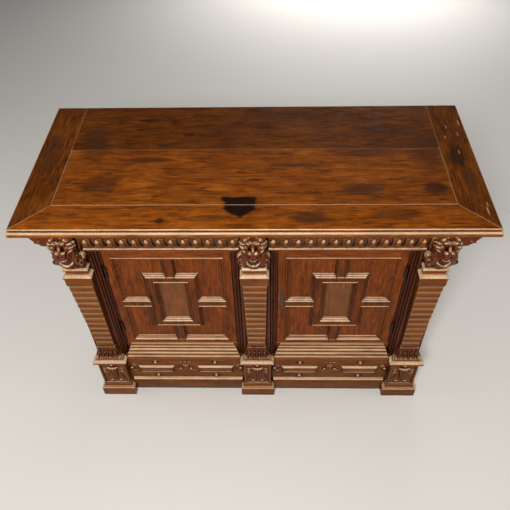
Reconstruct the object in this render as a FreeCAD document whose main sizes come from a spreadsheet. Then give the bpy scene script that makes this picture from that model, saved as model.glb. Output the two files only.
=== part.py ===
import FreeCAD, Part
import os
import Sketcher

# Oak sideboard with two doors, two base drawers and three carved pilasters.
# X runs along the front, Y towards the wall, Z up. The origin is on the floor, at the centre of the top's plan.
# Depths are kept as setbacks: how far a plane lies behind the front edge of the top.

SIZES = [
    # Whole piece
    ("overall_width", 1500),
    ("overall_depth", 660),
    ("overall_height", 1120),
    # Top: mitred frame round two boards, with a moulded edge
    ("top_thickness", 34),
    ("top_border", 116),
    ("top_front_board_end", 400),
    ("top_nosing_radius", 11),
    ("top_nosing_setback", 3),
    ("top_bead_height", 10),
    ("top_bead_setback", 5),
    # Posts and frame
    ("top_end_overhang", 80),
    ("post_width", 100),
    ("post_setback", 122),
    ("post_depth", 50),
    ("rear_post_width", 60),
    ("rear_post_depth", 60),
    ("carcass_back_gap", 6),
    ("side_rail_thickness", 30),
    ("side_top_rail_height", 168),
    ("side_bottom_rail_height", 180),
    ("side_bottom_rail_rise", 66),
    ("side_muntin_width", 70),
    ("side_panel_thickness", 12),
    ("side_panel_recess", 11),
    ("rear_rail_height", 60),
    ("rear_rail_depth", 34),
    ("rear_rail_rise", 60),
    ("back_board_thickness", 14),
    ("back_board_joint", 1),
    # Frieze
    ("frieze_height", 168),
    ("frieze_rail_setback", 108),
    ("frieze_rail_depth", 44),
    ("gadroon_top_setback", 62),
    ("gadroon_low_setback", 90),
    ("gadroon_rise", 44),
    ("gadroon_height", 64),
    ("bead_size", 12),
    ("cornice_setback", 56),
    # Pedestal under each pilaster
    ("foot_width", 145),
    ("foot_height", 60),
    ("foot_setback", 82),
    ("base_step_width", 136),
    ("base_step_height", 40),
    ("base_step_setback", 86),
    ("base_step_slope", 12),
    ("plinth_block_width", 113),
    ("plinth_block_setback", 92),
    ("slab_width", 140),
    ("slab_rise", 244),
    ("slab_edge_height", 12),
    ("slab_setback", 80),
    ("slab_slope", 14),
    # Leaf socle, ribbed shaft and capital
    ("socle_rise", 275),
    ("socle_height", 72),
    ("socle_top_width", 76),
    ("socle_foot_width", 102),
    ("socle_top_setback", 101),
    ("socle_foot_setback", 90),
    ("console_height", 236),
    ("shaft_foot_width", 70),
    ("shaft_top_width", 88),
    ("shaft_foot_setback", 106),
    ("shaft_top_setback", 82),
    ("shaft_groove_depth", 3),
    ("shaft_groove_height", 5),
    ("neck_height", 42),
    ("neck_width", 97),
    ("neck_setback", 83),
    ("torus_height", 30),
    ("torus_width", 103),
    ("torus_setback", 78),
    ("torus_slope", 13),
    ("abacus_height", 18),
    ("abacus_width", 88),
    ("abacus_setback", 90),
    # Consoles with a lion's head
    ("console_width", 78),
    ("console_top_setback", 46),
    ("console_brow_setback", 60),
    ("console_chin_setback", 72),
    ("console_foot_setback", 88),
    ("volute_radius", 20),
    ("volute_spread", 34),
    ("volute_rise", 38),
    ("volute_setback", 70),
    ("head_width", 84),
    ("head_height", 116),
    ("head_depth", 78),
    ("head_centre_rise", 142),
    ("head_centre_setback", 68),
    ("muzzle_radius", 21),
    ("muzzle_rise", 120),
    ("muzzle_setback", 44),
    ("side_console_reach", 74),
    ("side_console_setback", 50),
    ("side_console_height", 150),
    # Doors and their surrounds
    ("sill_rise", 246),
    ("sill_top_rise", 329),
    ("sill_low_setback", 112),
    ("sill_lip_height", 10),
    ("sill_step_rise", 300),
    ("sill_lip_setback", 132),
    ("rib_width", 25),
    ("rib_setback", 124),
    ("rebate_setback", 142),
    ("rebate_width", 6),
    ("surround_back_setback", 166),
    ("door_gap", 2.5),
    ("door_head_gap", 2),
    ("door_head_board_height", 34),
    ("door_thickness", 24),
    ("stile_width", 31),
    ("door_foot_rail", 18),
    ("door_head_rail", 40),
    ("panel_recess", 10),
    ("panel_thickness", 8),
    ("star_height", 14),
    ("star_slope", 13),
    ("star_width", 206),
    ("star_length", 320),
    ("star_recess_width", 106),
    ("star_recess_length", 218),
    ("star_recess_depth", 8),
    ("star_arm_width", 44),
    # Drawers and their opening
    ("drawer_rise", 92),
    ("drawer_height", 150),
    ("drawer_setback", 123),
    ("drawer_front_thickness", 22),
    ("drawer_side_clearance", 1),
    ("drawer_box_inset", 6),
    ("drawer_back_clearance", 9),
    ("drawer_box_height", 112),
    ("drawer_box_rise", 8),
    ("drawer_wall", 12),
    ("drawer_bottom_thickness", 7),
    ("drawer_bottom_lift", 6),
    ("drawer_panel_width", 157),
    ("drawer_panel_offset", 128),
    ("drawer_panel_height", 48),
    ("drawer_work_rise", 155),
    ("drawer_panel_projection", 8),
    ("drawer_panel_slope", 9),
    ("drawer_boss_radius", 9),
    ("drawer_boss_projection", 8),
    ("drawer_boss_spread", 51),
    ("runner_width", 26),
    ("runner_height", 24),
    ("runner_gap", 0.3),
    # Base rail
    ("base_rail_rise", 6),
    ("base_rail_top", 88),
    ("base_rail_setback", 124),
    ("base_rail_depth", 26),
    ("base_moulding_setback", 112),
    ("base_moulding_lip", 10),
    # Inside
    ("floor_thickness", 18),
    ("partition_thickness", 18),
    ("shelf_thickness", 18),
    ("shelf_rise", 590),
    ("shelf_setback", 190),
    ("shelf_end_gap", 1),
    ("bearer_width", 20),
    ("bearer_height", 24),
    # Hinges, key plate and lock
    ("hinge_length", 60),
    ("hinge_end_distance", 80),
    ("hinge_barrel_radius", 4.5),
    ("hinge_pin_radius", 2.5),
    ("hinge_pin_clearance", 0.05),
    ("hinge_setback", 136),
    ("hinge_leaf_thickness", 1.2),
    ("hinge_leaf_end", 160),
    ("hinge_joint_gap", 0.3),
    ("key_plate_width", 15),
    ("key_plate_height", 120),
    ("key_plate_rise", 557),
    ("key_plate_thickness", 1.5),
    ("keyhole_radius", 3),
    ("lock_width", 27),
    ("lock_height", 74),
    ("lock_depth", 15),
    ("lock_edge_gap", 1.5),
    ("bolt_length", 22),
    ("bolt_height", 14),
    ("bolt_thickness", 6),
    ("bolt_clearance", 0.3),
    ("bolt_setback", 3),
    # Spare length that a cutting tool runs past a face
    ("overrun", 20),
]

doc = FreeCAD.newDocument("sideboard")
sheet = doc.addObject("Spreadsheet::Sheet", "sizes")
for line_number, (alias, number) in enumerate(SIZES, 1):
    sheet.set("A%d" % line_number, alias)
    sheet.set("B%d" % line_number, str(number))
    sheet.setAlias("B%d" % line_number, alias)
doc.recompute()


class Length:
    """A length that knows its formula in the sheet as well as its present value."""

    def __init__(self, formula, number):
        self.formula = formula
        self.number = number

    def joined(self, other, sign, number):
        return Length("(%s %s %s)" % (self.formula, sign, length(other).formula), number)

    def __add__(self, other):
        return self.joined(other, "+", self.number + length(other).number)

    def __sub__(self, other):
        return self.joined(other, "-", self.number - length(other).number)

    def __mul__(self, other):
        return self.joined(other, "*", self.number * length(other).number)

    def __truediv__(self, other):
        return self.joined(other, "/", self.number / length(other).number)

    def __neg__(self):
        return Length("(0 - %s)" % self.formula, -self.number)


def length(source):
    """A sheet alias, a plain share or a Length, as a Length."""
    if isinstance(source, Length):
        return source
    if isinstance(source, str):
        return Length("sizes." + source, float(sheet.get(source)))
    return Length(str(source), float(source))


def bind(item, name, source):
    """Bind one property of an object to a length."""
    item.setExpression(name, length(source).formula)


def setback(source):
    """The Y of a plane that lies behind the top's front edge."""
    return length(source) - length("overall_depth") / 2


def board(label, low, high):
    """A squared piece of wood between two corners."""
    item = doc.addObject("Part::Box", label)
    for side, axis, start, end in zip(("Length", "Width", "Height"), "xyz", low, high):
        bind(item, side, length(end) - start)
        bind(item, "Placement.Base." + axis, start)
    return item


def bevelled(label, near, far, near_rect, far_rect):
    """A block between two upright planes, with its own rectangle (x, x, z, z) on each."""
    item = doc.addObject("Part::Wedge", label)
    names = ("Xmin", "Xmax", "Zmin", "Zmax", "X2min", "X2max", "Z2min", "Z2max", "Ymin", "Ymax")
    for name, source in zip(names, (*near_rect, *far_rect, near, far)):
        bind(item, name, source)
    return item


def tapered(label, low, high, low_rect, high_rect):
    """A block between two level planes, with its own rectangle (x, x, y, y) on each."""
    item = doc.addObject("Part::Wedge", label)
    low_x, low_x_end, low_y, low_y_end = low_rect
    high_x, high_x_end, high_y, high_y_end = high_rect
    names = ("Xmin", "Xmax", "Zmin", "Zmax", "X2min", "X2max", "Z2min", "Z2max", "Ymin", "Ymax")
    sources = (low_x, low_x_end, -length(low_y_end), -length(low_y),
               high_x, high_x_end, -length(high_y_end), -length(high_y), low, high)
    for name, source in zip(names, sources):
        bind(item, name, source)
    item.Placement = FreeCAD.Placement(FreeCAD.Vector(), FreeCAD.Rotation(FreeCAD.Vector(1, 0, 0), 90))
    return item


def moulding(label, plane, outline, start, end):
    """A length of moulding: an outline sketched on an origin plane and padded from start to end."""
    body = doc.addObject("PartDesign::Body", label)
    sketch = body.newObject("Sketcher::SketchObject", label + "_outline")
    face = [feature for feature in body.Origin.OriginFeatures if feature.Role == plane][0]
    sketch.AttachmentSupport = [(face, "")]
    sketch.MapMode = "FlatFace"
    # The normal of the XZ plane points to -Y, so that sketch lies at the far end of its pad.
    bind(sketch, "AttachmentOffset.Base.z", -length(end) if plane == "XZ_Plane" else start)
    corners = [(length(across), length(up)) for across, up in outline]
    points = [FreeCAD.Vector(across.number, up.number, 0) for across, up in corners]
    for index, point in enumerate(points):
        sketch.addGeometry(Part.LineSegment(point, points[(index + 1) % len(points)]), False)
    for index in range(len(points)):
        sketch.addConstraint(Sketcher.Constraint("Coincident", index, 2, (index + 1) % len(points), 1))
    for index, corner in enumerate(corners):
        for kind, place in zip(("DistanceX", "DistanceY"), corner):
            number = sketch.addConstraint(Sketcher.Constraint(kind, -1, 1, index, 1, place.number))
            bind(sketch, "Constraints[%d]" % number, place)
    pad = body.newObject("PartDesign::Pad", label + "_pad")
    pad.Profile = sketch
    bind(pad, "Length", length(end) - start)
    return body


def round_bar(label, radius, centre, axis, reach):
    """A cylinder from a centre point along an axis."""
    item = doc.addObject("Part::Cylinder", label)
    item.Placement = FreeCAD.Placement(FreeCAD.Vector(), FreeCAD.Rotation(FreeCAD.Vector(0, 0, 1), axis))
    bind(item, "Radius", radius)
    bind(item, "Height", reach)
    for name, source in zip("xyz", centre):
        bind(item, "Placement.Base." + name, source)
    return item


def oval(label, radii, centre):
    """An ellipsoid with its half sizes along X, Y and Z."""
    item = doc.addObject("Part::Ellipsoid", label)
    for name, source in zip(("Radius2", "Radius3", "Radius1"), radii):
        bind(item, name, source)
    for name, source in zip("xyz", centre):
        bind(item, "Placement.Base." + name, source)
    return item


def fuse(label, pieces):
    item = doc.addObject("Part::MultiFuse", label)
    item.Shapes = pieces
    return item


def common(label, first, second):
    item = doc.addObject("Part::Common", label)
    item.Base = first
    item.Tool = second
    return item


def cut(label, base, tool):
    item = doc.addObject("Part::Cut", label)
    item.Base = base
    item.Tool = tool
    return item


def group(label, pieces):
    """Separate solids that share one node."""
    item = doc.addObject("Part::Compound", label)
    item.Links = pieces
    return item


ALONG_X = FreeCAD.Vector(1, 0, 0)
ALONG_Y = FreeCAD.Vector(0, 1, 0)
UP = FreeCAD.Vector(0, 0, 1)
PILASTERS = (("left", -1), ("centre", 0), ("right", 1))
SIDES = (("left", -1), ("right", 1))

nodes = []


def keep(item):
    """Mark an object as one of the pieces of the sideboard."""
    nodes.append(item)
    return item


def ordered(first, second):
    """Two lengths, the lower one first."""
    first = length(first)
    second = length(second)
    return (first, second) if first.number < second.number else (second, first)


def spanning(side, near, far):
    """The X span between two distances from the centre line, on the side that is given as -1 or 1."""
    return ordered(length(near) * side, length(far) * side)


half_width = length("overall_width") / 2
post_half = length("post_width") / 2
frame_x = half_width - "top_end_overhang"
pilaster_x = frame_x - post_half
front = setback(0)
back = length("overall_depth") / 2
top_low = length("overall_height") - "top_thickness"
top_high = length("overall_height")

# The top: a front rail mitred to two end boards, with two boards between them.
border = length("top_border")
inner_x = half_width - border
front_joint = front + border
board_joint = setback("top_front_board_end")
nosing_z = top_low + "top_nosing_radius"
bead_low = top_high - "top_bead_height"
shoulder = length("top_nosing_setback") + "top_nosing_radius"


def edged(label, plane, edge, inward, inner, start, end):
    """A strip of the top with its round nosing under a small square bead."""
    def place(distance):
        return length(edge) + length(distance) * inward

    outline = [
        (inner, top_low), (place(shoulder), top_low), (place(shoulder), bead_low - "top_nosing_setback"),
        (place("top_bead_setback"), bead_low), (place("top_bead_setback"), top_high), (inner, top_high)]
    strip = moulding(label + "_strip", plane, outline, start, end)
    reach = length(end) - start
    if plane == "YZ_Plane":
        nosing = round_bar(label + "_nosing", "top_nosing_radius", (start, place("top_nosing_radius"), nosing_z),
                           ALONG_X, reach)
    else:
        nosing = round_bar(label + "_nosing", "top_nosing_radius", (place("top_nosing_radius"), start, nosing_z),
                           ALONG_Y, reach)
    return fuse(label + "_moulded", [strip, nosing])


front_plan = moulding("front_rail_plan", "XY_Plane", [
    (-half_width, front), (half_width, front), (inner_x, front_joint), (-inner_x, front_joint)],
    top_low, top_high)
keep(common("top_front_rail", edged("front_rail", "YZ_Plane", front, 1, front_joint, -half_width, half_width),
            front_plan))
for name, side in SIDES:
    end_plan = moulding("end_plan_" + name, "XY_Plane", [
        (half_width * side, front), (half_width * side, back), (inner_x * side, back),
        (inner_x * side, front_joint)], top_low, top_high)
    strip = edged("end_" + name, "XZ_Plane", half_width * side, -side, inner_x * side, front, back)
    keep(common("top_end_" + name, strip, end_plan))
keep(board("top_centre_board", (-inner_x, front_joint, top_low), (inner_x, board_joint, top_high)))
keep(board("top_back_board", (-inner_x, board_joint, top_low), (inner_x, back, top_high)))

# The frame: three front posts on the floor, and a rear frame with two posts and two rails.
post_face = setback("post_setback")
post_back = post_face + "post_depth"
frame_back = back - "carcass_back_gap"
rear_post_face = frame_back - "rear_post_depth"
rear_post_x = frame_x - "rear_post_width"
for name, side in PILASTERS:
    centre = pilaster_x * side
    keep(board("front_post_" + name, (centre - post_half, post_face, 0), (centre + post_half, post_back, top_low)))

boards_face = frame_back - "back_board_thickness"
rear_rail_face = boards_face - "rear_rail_depth"
rear_pieces = []
for name, side in SIDES:
    low_x, high_x = spanning(side, rear_post_x, frame_x)
    rear_pieces.append(board("rear_post_" + name, (low_x, rear_post_face, 0), (high_x, frame_back, top_low)))
for name, low in (("low", length("rear_rail_rise")), ("high", top_low - "rear_rail_height")):
    rear_pieces.append(board("rear_rail_" + name, (-rear_post_x, rear_rail_face, low),
                             (rear_post_x, boards_face, low + "rear_rail_height")))
keep(group("rear_frame", rear_pieces))

BACK_BOARDS = 5
pitch = rear_post_x * 2 / BACK_BOARDS
backs = []
for index in range(BACK_BOARDS):
    low_x = -rear_post_x + pitch * index
    backs.append(board("back_board_%d" % index, (low_x, boards_face, "rear_rail_rise"),
                       (low_x + pitch - "back_board_joint", frame_back, top_low)))
keep(group("back_boards", backs))

# The sides: two rails and a muntin between the posts, with two recessed panels.
side_inner_x = frame_x - "side_rail_thickness"
side_top = top_low - "side_top_rail_height"
side_low = length("side_bottom_rail_rise")
side_low_top = side_low + "side_bottom_rail_height"
side_middle = (post_back + rear_post_face) / 2
muntin_half = length("side_muntin_width") / 2
for name, side in SIDES:
    low_x, high_x = spanning(side, side_inner_x, frame_x)
    rails = [
        board("side_rail_high_" + name, (low_x, post_back, side_top), (high_x, rear_post_face, top_low)),
        board("side_rail_low_" + name, (low_x, post_back, side_low), (high_x, rear_post_face, side_low_top)),
        board("side_muntin_" + name, (low_x, side_middle - muntin_half, side_low_top),
              (high_x, side_middle + muntin_half, side_top))]
    keep(group("side_frame_" + name, rails))
    outer = frame_x - "side_panel_recess"
    low_x, high_x = spanning(side, outer - "side_panel_thickness", outer)
    panels = [
        board("side_panel_front_" + name, (low_x, post_back, side_low_top),
              (high_x, side_middle - muntin_half, side_top)),
        board("side_panel_rear_" + name, (low_x, side_middle + muntin_half, side_low_top),
              (high_x, rear_post_face, side_top))]
    keep(group("side_panel_" + name, panels))

# The frieze: a rail in each bay, carrying a bead, a gadrooned band and a small cornice under the top.
frieze_low = top_low - "frieze_height"
frieze_face = setback("frieze_rail_setback")
gadroon_low = frieze_low + "gadroon_rise"
gadroon_high = gadroon_low + "gadroon_height"
bay_near = post_half
bay_far = pilaster_x - post_half
rails = []
bands = []
beads = []
for name, side in SIDES:
    low_x, high_x = spanning(side, bay_near, bay_far)
    rails.append(board("frieze_rail_" + name, (low_x, frieze_face, frieze_low),
                       (high_x, frieze_face + "frieze_rail_depth", top_low)))
    bands.append(moulding("gadroon_band_" + name, "YZ_Plane", [
        (frieze_face, gadroon_low), (setback("gadroon_low_setback"), gadroon_low),
        (setback("gadroon_top_setback"), gadroon_low + length("gadroon_height") / 2),
        (setback("gadroon_top_setback"), gadroon_high), (frieze_face, gadroon_high)], low_x, high_x))
    beads.append(moulding("frieze_bead_" + name, "YZ_Plane", [
        (frieze_face, gadroon_low - "bead_size"), (frieze_face - length("bead_size") / 2, gadroon_low - "bead_size"),
        (setback("gadroon_low_setback"), gadroon_low), (frieze_face, gadroon_low)], low_x, high_x))
    beads.append(moulding("cornice_" + name, "YZ_Plane", [
        (frieze_face, gadroon_high), (setback("gadroon_top_setback"), gadroon_high),
        (setback("cornice_setback"), top_low), (frieze_face, top_low)], low_x, high_x))
keep(group("frieze_rails", rails))
keep(group("frieze_mouldings", beads))

# The same band along both sides, from the front post to the back.
side_band_reach = frieze_face - setback("gadroon_low_setback")
side_band_full = frieze_face - setback("gadroon_top_setback")
side_band_start = post_face
for name, side in SIDES:
    bands.append(moulding("gadroon_side_" + name, "XZ_Plane", [
        (frame_x * side, gadroon_low), ((frame_x + side_band_reach) * side, gadroon_low),
        ((frame_x + side_band_full) * side, gadroon_low + length("gadroon_height") / 2),
        ((frame_x + side_band_full) * side, gadroon_high), (frame_x * side, gadroon_high)],
        side_band_start, frame_back))
keep(group("gadroon_bands", bands))

# Pedestals: foot, sloped base step, carved block and slab, stacked in front of each post.
foot_top = length("foot_height")
step_top = foot_top + "base_step_height"
for name, side in PILASTERS:
    centre = pilaster_x * side
    foot_half = length("foot_width") / 2
    step_half = length("base_step_width") / 2
    block_half = length("plinth_block_width") / 2
    slab_half = length("slab_width") / 2
    slab_face = setback("slab_setback")
    slab_shoulder = length("slab_rise") + "slab_edge_height"
    slab_top_half = slab_half - "slab_slope"
    step_top_half = step_half - "base_step_slope"
    pieces = [
        board("foot_" + name, (centre - foot_half, setback("foot_setback"), 0),
              (centre + foot_half, post_face, foot_top)),
        tapered("base_step_" + name, foot_top, step_top,
                (centre - step_half, centre + step_half, setback("base_step_setback"), post_face),
                (centre - step_top_half, centre + step_top_half,
                 setback("base_step_setback") + length("base_step_slope") / 2, post_face)),
        board("plinth_block_" + name, (centre - block_half, setback("plinth_block_setback"), step_top),
              (centre + block_half, post_face, "slab_rise")),
        board("slab_" + name, (centre - slab_half, slab_face, "slab_rise"),
              (centre + slab_half, post_face, slab_shoulder)),
        tapered("slab_slope_" + name, slab_shoulder, "socle_rise",
                (centre - slab_half, centre + slab_half, slab_face, post_face),
                (centre - slab_top_half, centre + slab_top_half, slab_face + "slab_slope", post_face))]
    keep(group("pedestal_" + name, pieces))

# Pilasters: leaf socle, ribbed shaft that widens upwards, and a capital of neck, torus and abacus.
shaft_low = length("socle_rise") + "socle_height"
abacus_high = top_low - "console_height"
torus_high = abacus_high - "abacus_height"
neck_high = torus_high - "torus_height"
shaft_high = neck_high - "neck_height"
shaft_height = shaft_high - shaft_low
RIBS = 12
for name, side in PILASTERS:
    centre = pilaster_x * side
    socle_foot_half = length("socle_foot_width") / 2
    socle_top_half = length("socle_top_width") / 2
    keep(tapered("leaf_socle_" + name, "socle_rise", shaft_low,
                 (centre - socle_foot_half, centre + socle_foot_half, setback("socle_foot_setback"), post_face),
                 (centre - socle_top_half, centre + socle_top_half, setback("socle_top_setback"), post_face)))

    shaft_foot_half = length("shaft_foot_width") / 2
    shaft_top_half = length("shaft_top_width") / 2
    plain = tapered("shaft_blank_" + name, shaft_low, shaft_high,
                    (centre - shaft_foot_half, centre + shaft_foot_half, setback("shaft_foot_setback"), post_face),
                    (centre - shaft_top_half, centre + shaft_top_half, setback("shaft_top_setback"), post_face))
    grooves = []
    lean = length("shaft_foot_setback") - "shaft_top_setback"
    for index in range(1, RIBS):
        share = index / RIBS
        face = setback("shaft_foot_setback") - lean * share
        low = shaft_low + shaft_height * share
        grooves.append(board("rib_groove_%s_%d" % (name, index),
                             (centre - shaft_top_half, face - "overrun", low),
                             (centre + shaft_top_half, face + "shaft_groove_depth", low + "shaft_groove_height")))
    keep(cut("shaft_" + name, plain, group("rib_grooves_" + name, grooves)))

    neck_half = length("neck_width") / 2
    torus_half = length("torus_width") / 2
    torus_top_half = torus_half - "torus_slope"
    abacus_half = length("abacus_width") / 2
    neck_foot_half = shaft_top_half
    pieces = [
        tapered("neck_" + name, shaft_high, neck_high,
                (centre - neck_foot_half, centre + neck_foot_half, setback("shaft_top_setback"), post_face),
                (centre - neck_half, centre + neck_half, setback("neck_setback"), post_face)),
        tapered("torus_" + name, neck_high, torus_high,
                (centre - torus_half, centre + torus_half, setback("torus_setback"), post_face),
                (centre - torus_top_half, centre + torus_top_half, setback("torus_setback") + "torus_slope",
                 post_face)),
        board("abacus_" + name, (centre - abacus_half, setback("abacus_setback"), torus_high),
              (centre + abacus_half, post_face, abacus_high))]
    keep(fuse("capital_" + name, pieces))

# Consoles: a scrolled bracket with a lion's head at the top and a volute on each side of its foot.
for name, side in PILASTERS:
    centre = pilaster_x * side
    half = length("console_width") / 2
    rise = length("console_height")
    chin_share, brow_share = 0.3, 0.7
    scroll = moulding("console_scroll_" + name, "YZ_Plane", [
        (post_face, abacus_high), (setback("console_foot_setback"), abacus_high),
        (setback("console_chin_setback"), abacus_high + rise * chin_share),
        (setback("console_brow_setback"), abacus_high + rise * brow_share),
        (setback("console_top_setback"), top_low), (post_face, top_low)],
        centre - half, centre + half)
    head = oval("console_head_" + name,
                (length("head_width") / 2, length("head_depth") / 2, length("head_height") / 2),
                (centre, setback("head_centre_setback"), abacus_high + "head_centre_rise"))
    muzzle = oval("console_muzzle_" + name, ("muzzle_radius", "muzzle_radius", "muzzle_radius"),
                  (centre, setback("muzzle_setback"), abacus_high + "muzzle_rise"))
    volutes = []
    for hand, way in SIDES:
        volutes.append(round_bar("console_volute_%s_%s" % (name, hand), "volute_radius",
                                 (centre + length("volute_spread") * way, setback("volute_setback"),
                                  abacus_high + "volute_rise"),
                                 ALONG_Y, post_face - setback("volute_setback")))
    keep(fuse("lion_console_" + name, [scroll, head, muzzle] + volutes))

# A head that faces sideways is carved on each corner: its chin, muzzle and brow make one outline.
chin_reach_share, brow_reach_share = 0.45, 0.8
muzzle_low_share, muzzle_high_share = 0.32, 0.5
console_low = top_low - "side_console_height"
for name, side in SIDES:
    inner = pilaster_x + length("head_width") / 2
    reach = length("side_console_reach")
    height = length("side_console_height")
    outline = [
        (inner * side, console_low), ((inner + reach * chin_reach_share) * side, console_low),
        ((inner + reach) * side, console_low + height * muzzle_low_share),
        ((inner + reach) * side, console_low + height * muzzle_high_share),
        ((inner + reach * brow_reach_share) * side, top_low), (inner * side, top_low)]
    keep(moulding("side_console_" + name, "XZ_Plane", outline, setback("side_console_setback"), post_face))

# Door surrounds: a stepped sill, two ribs and a head, standing between the posts.
sill_low = length("sill_rise")
sill_high = length("sill_top_rise")
rebate_face = setback("rebate_setback")
surround_back = setback("surround_back_setback")
opening_near = bay_near + "rib_width" + "rebate_width"
opening_far = bay_far - "rib_width" - "rebate_width"
rib_face = setback("rib_setback")
slab_edge = length("slab_width") / 2
door_low = sill_high + "door_head_gap"
head_low = frieze_low - "door_head_board_height"
door_high = head_low - "door_head_gap"
for name, side in SIDES:
    low_x, high_x = spanning(side, bay_near, bay_far)
    pieces = [moulding("sill_core_" + name, "YZ_Plane", [
        (surround_back, sill_low), (rib_face, sill_low), (rib_face, "sill_step_rise"),
        (setback("sill_lip_setback"), sill_high), (surround_back, sill_high)], low_x, high_x)]
    low_x, high_x = spanning(side, slab_edge, pilaster_x - slab_edge)
    pieces.append(moulding("sill_moulding_" + name, "YZ_Plane", [
        (rib_face, sill_low), (setback("sill_low_setback"), sill_low),
        (setback("sill_low_setback"), length("sill_rise") + "sill_lip_height"),
        (rib_face, "sill_step_rise")], low_x, high_x))
    ribs = (("inner", bay_near, bay_near + "rib_width", opening_near),
            ("outer", bay_far, bay_far - "rib_width", opening_far))
    for place, outer, lip, edge in ribs:
        outline = [(outer * side, rib_face), (lip * side, rib_face), (lip * side, rebate_face),
                   (edge * side, rebate_face), (edge * side, surround_back), (outer * side, surround_back)]
        pieces.append(moulding("rib_%s_%s" % (place, name), "XY_Plane", outline, sill_high, frieze_low))
    low_x, high_x = spanning(side, opening_near, opening_far)
    pieces.append(board("head_" + name, (low_x, rebate_face, head_low), (high_x, surround_back, frieze_low)))
    keep(group("door_surround_" + name, pieces))

# Doors: four frame members, a panel, and a raised star of mouldings on the panel.
leaf_near = opening_near + "door_gap"
leaf_far = opening_far - "door_gap"
leaf_back = rebate_face + "door_thickness"
field_near = leaf_near + "stile_width"
field_far = leaf_far - "stile_width"
field_low = door_low + "door_foot_rail"
field_high = door_high - "door_head_rail"
panel_face = rebate_face + "panel_recess"
door_middle = (leaf_near + leaf_far) / 2
star_middle = (field_low + field_high) / 2
key_x = leaf_near + length("stile_width") / 2
key_z = length("key_plate_rise") + length("key_plate_height") / 2
lock_back = leaf_back + "lock_depth"
for name, side in SIDES:
    low_x, high_x = spanning(side, leaf_near, field_near)
    lock_stile = board("lock_stile_" + name, (low_x, rebate_face, door_low), (high_x, leaf_back, door_high))
    if name == "right":
        keyhole = round_bar("stile_keyhole", "keyhole_radius", (key_x, rebate_face - "overrun", key_z), ALONG_Y,
                            length("door_thickness") + length("overrun") * 2)
        lock_stile = cut("bored_stile", lock_stile, keyhole)
    low_x, high_x = spanning(side, field_far, leaf_far)
    hinge_stile = board("hinge_stile_" + name, (low_x, rebate_face, door_low), (high_x, leaf_back, door_high))
    low_x, high_x = spanning(side, field_near, field_far)
    foot_rail = board("door_foot_rail_" + name, (low_x, rebate_face, door_low), (high_x, leaf_back, field_low))
    head_rail = board("door_head_rail_" + name, (low_x, rebate_face, field_high), (high_x, leaf_back, door_high))
    keep(group("door_frame_" + name, [lock_stile, hinge_stile, foot_rail, head_rail]))
    keep(board("door_panel_" + name, (low_x, panel_face, field_low),
               (high_x, panel_face + "panel_thickness", field_high)))

    middle = door_middle * side
    slope = length("star_slope")
    star_face = panel_face - "star_height"
    star_half = length("star_width") / 2
    star_rise = length("star_length") / 2
    base = bevelled("star_block_" + name, star_face, panel_face,
                    (middle - star_half + slope, middle + star_half - slope,
                     star_middle - star_rise + slope, star_middle + star_rise - slope),
                    (middle - star_half, middle + star_half, star_middle - star_rise, star_middle + star_rise))
    recess_half = length("star_recess_width") / 2
    recess_rise = length("star_recess_length") / 2
    recess = board("star_recess_" + name, (middle - recess_half, star_face - "overrun", star_middle - recess_rise),
                   (middle + recess_half, star_face + "star_recess_depth", star_middle + recess_rise))
    arm_half = length("star_arm_width") / 2
    arm_face_half = arm_half - slope
    level_arm = bevelled("star_level_arm_" + name, star_face, panel_face,
                         (low_x, high_x, star_middle - arm_face_half, star_middle + arm_face_half),
                         (low_x, high_x, star_middle - arm_half, star_middle + arm_half))
    upright_arm = bevelled("star_upright_arm_" + name, star_face, panel_face,
                           (middle - arm_face_half, middle + arm_face_half, field_low, field_high),
                           (middle - arm_half, middle + arm_half, field_low, field_high))
    solid_star = fuse("star_blank_" + name, [base, level_arm, upright_arm])
    keep(cut("door_star_" + name, solid_star, recess))

# Hinges: two on each door, with a fixed barrel and pin below and the door's barrel above.
hinge_x = opening_far - length("door_gap") / 2
hinge_y = setback("hinge_setback")
barrel_half = length("hinge_length") / 2
plate = length("hinge_leaf_thickness")
plate_end = setback("hinge_leaf_end")
hinge_levels = (("lower", door_low + "hinge_end_distance"),
                ("upper", door_high - "hinge_end_distance" - "hinge_length"))
fixed_hinges = []
for name, side in SIDES:
    door_leaves = []
    for level, low in hinge_levels:
        middle = low + barrel_half
        high = low + "hinge_length"
        stem = "%s_%s" % (name, level)
        pin_centre = hinge_x * side
        low_x, high_x = spanning(side, opening_far - plate, opening_far)
        fixed_hinges.append(fuse("fixed_hinge_" + stem, [
            round_bar("fixed_barrel_" + stem, "hinge_barrel_radius", (pin_centre, hinge_y, low), UP, barrel_half),
            round_bar("hinge_pin_" + stem, "hinge_pin_radius", (pin_centre, hinge_y, low), UP, "hinge_length"),
            board("fixed_plate_" + stem, (low_x, hinge_y, low), (high_x, plate_end, middle))]))
        low_x, high_x = spanning(side, leaf_far, leaf_far + plate)
        start = middle + "hinge_joint_gap"
        barrel = fuse("leaf_blank_" + stem, [
            round_bar("leaf_barrel_" + stem, "hinge_barrel_radius", (pin_centre, hinge_y, start), UP, high - start),
            board("leaf_plate_" + stem, (low_x, hinge_y, start), (high_x, plate_end, high))])
        bore = round_bar("leaf_bore_" + stem, length("hinge_pin_radius") + "hinge_pin_clearance",
                         (pin_centre, hinge_y, middle - "overrun"), UP, barrel_half + length("overrun") * 2)
        door_leaves.append(cut("leaf_hinge_" + stem, barrel, bore))
    keep(group("hinge_leaves_" + name, door_leaves))
keep(group("hinges_fixed", fixed_hinges))

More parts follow.
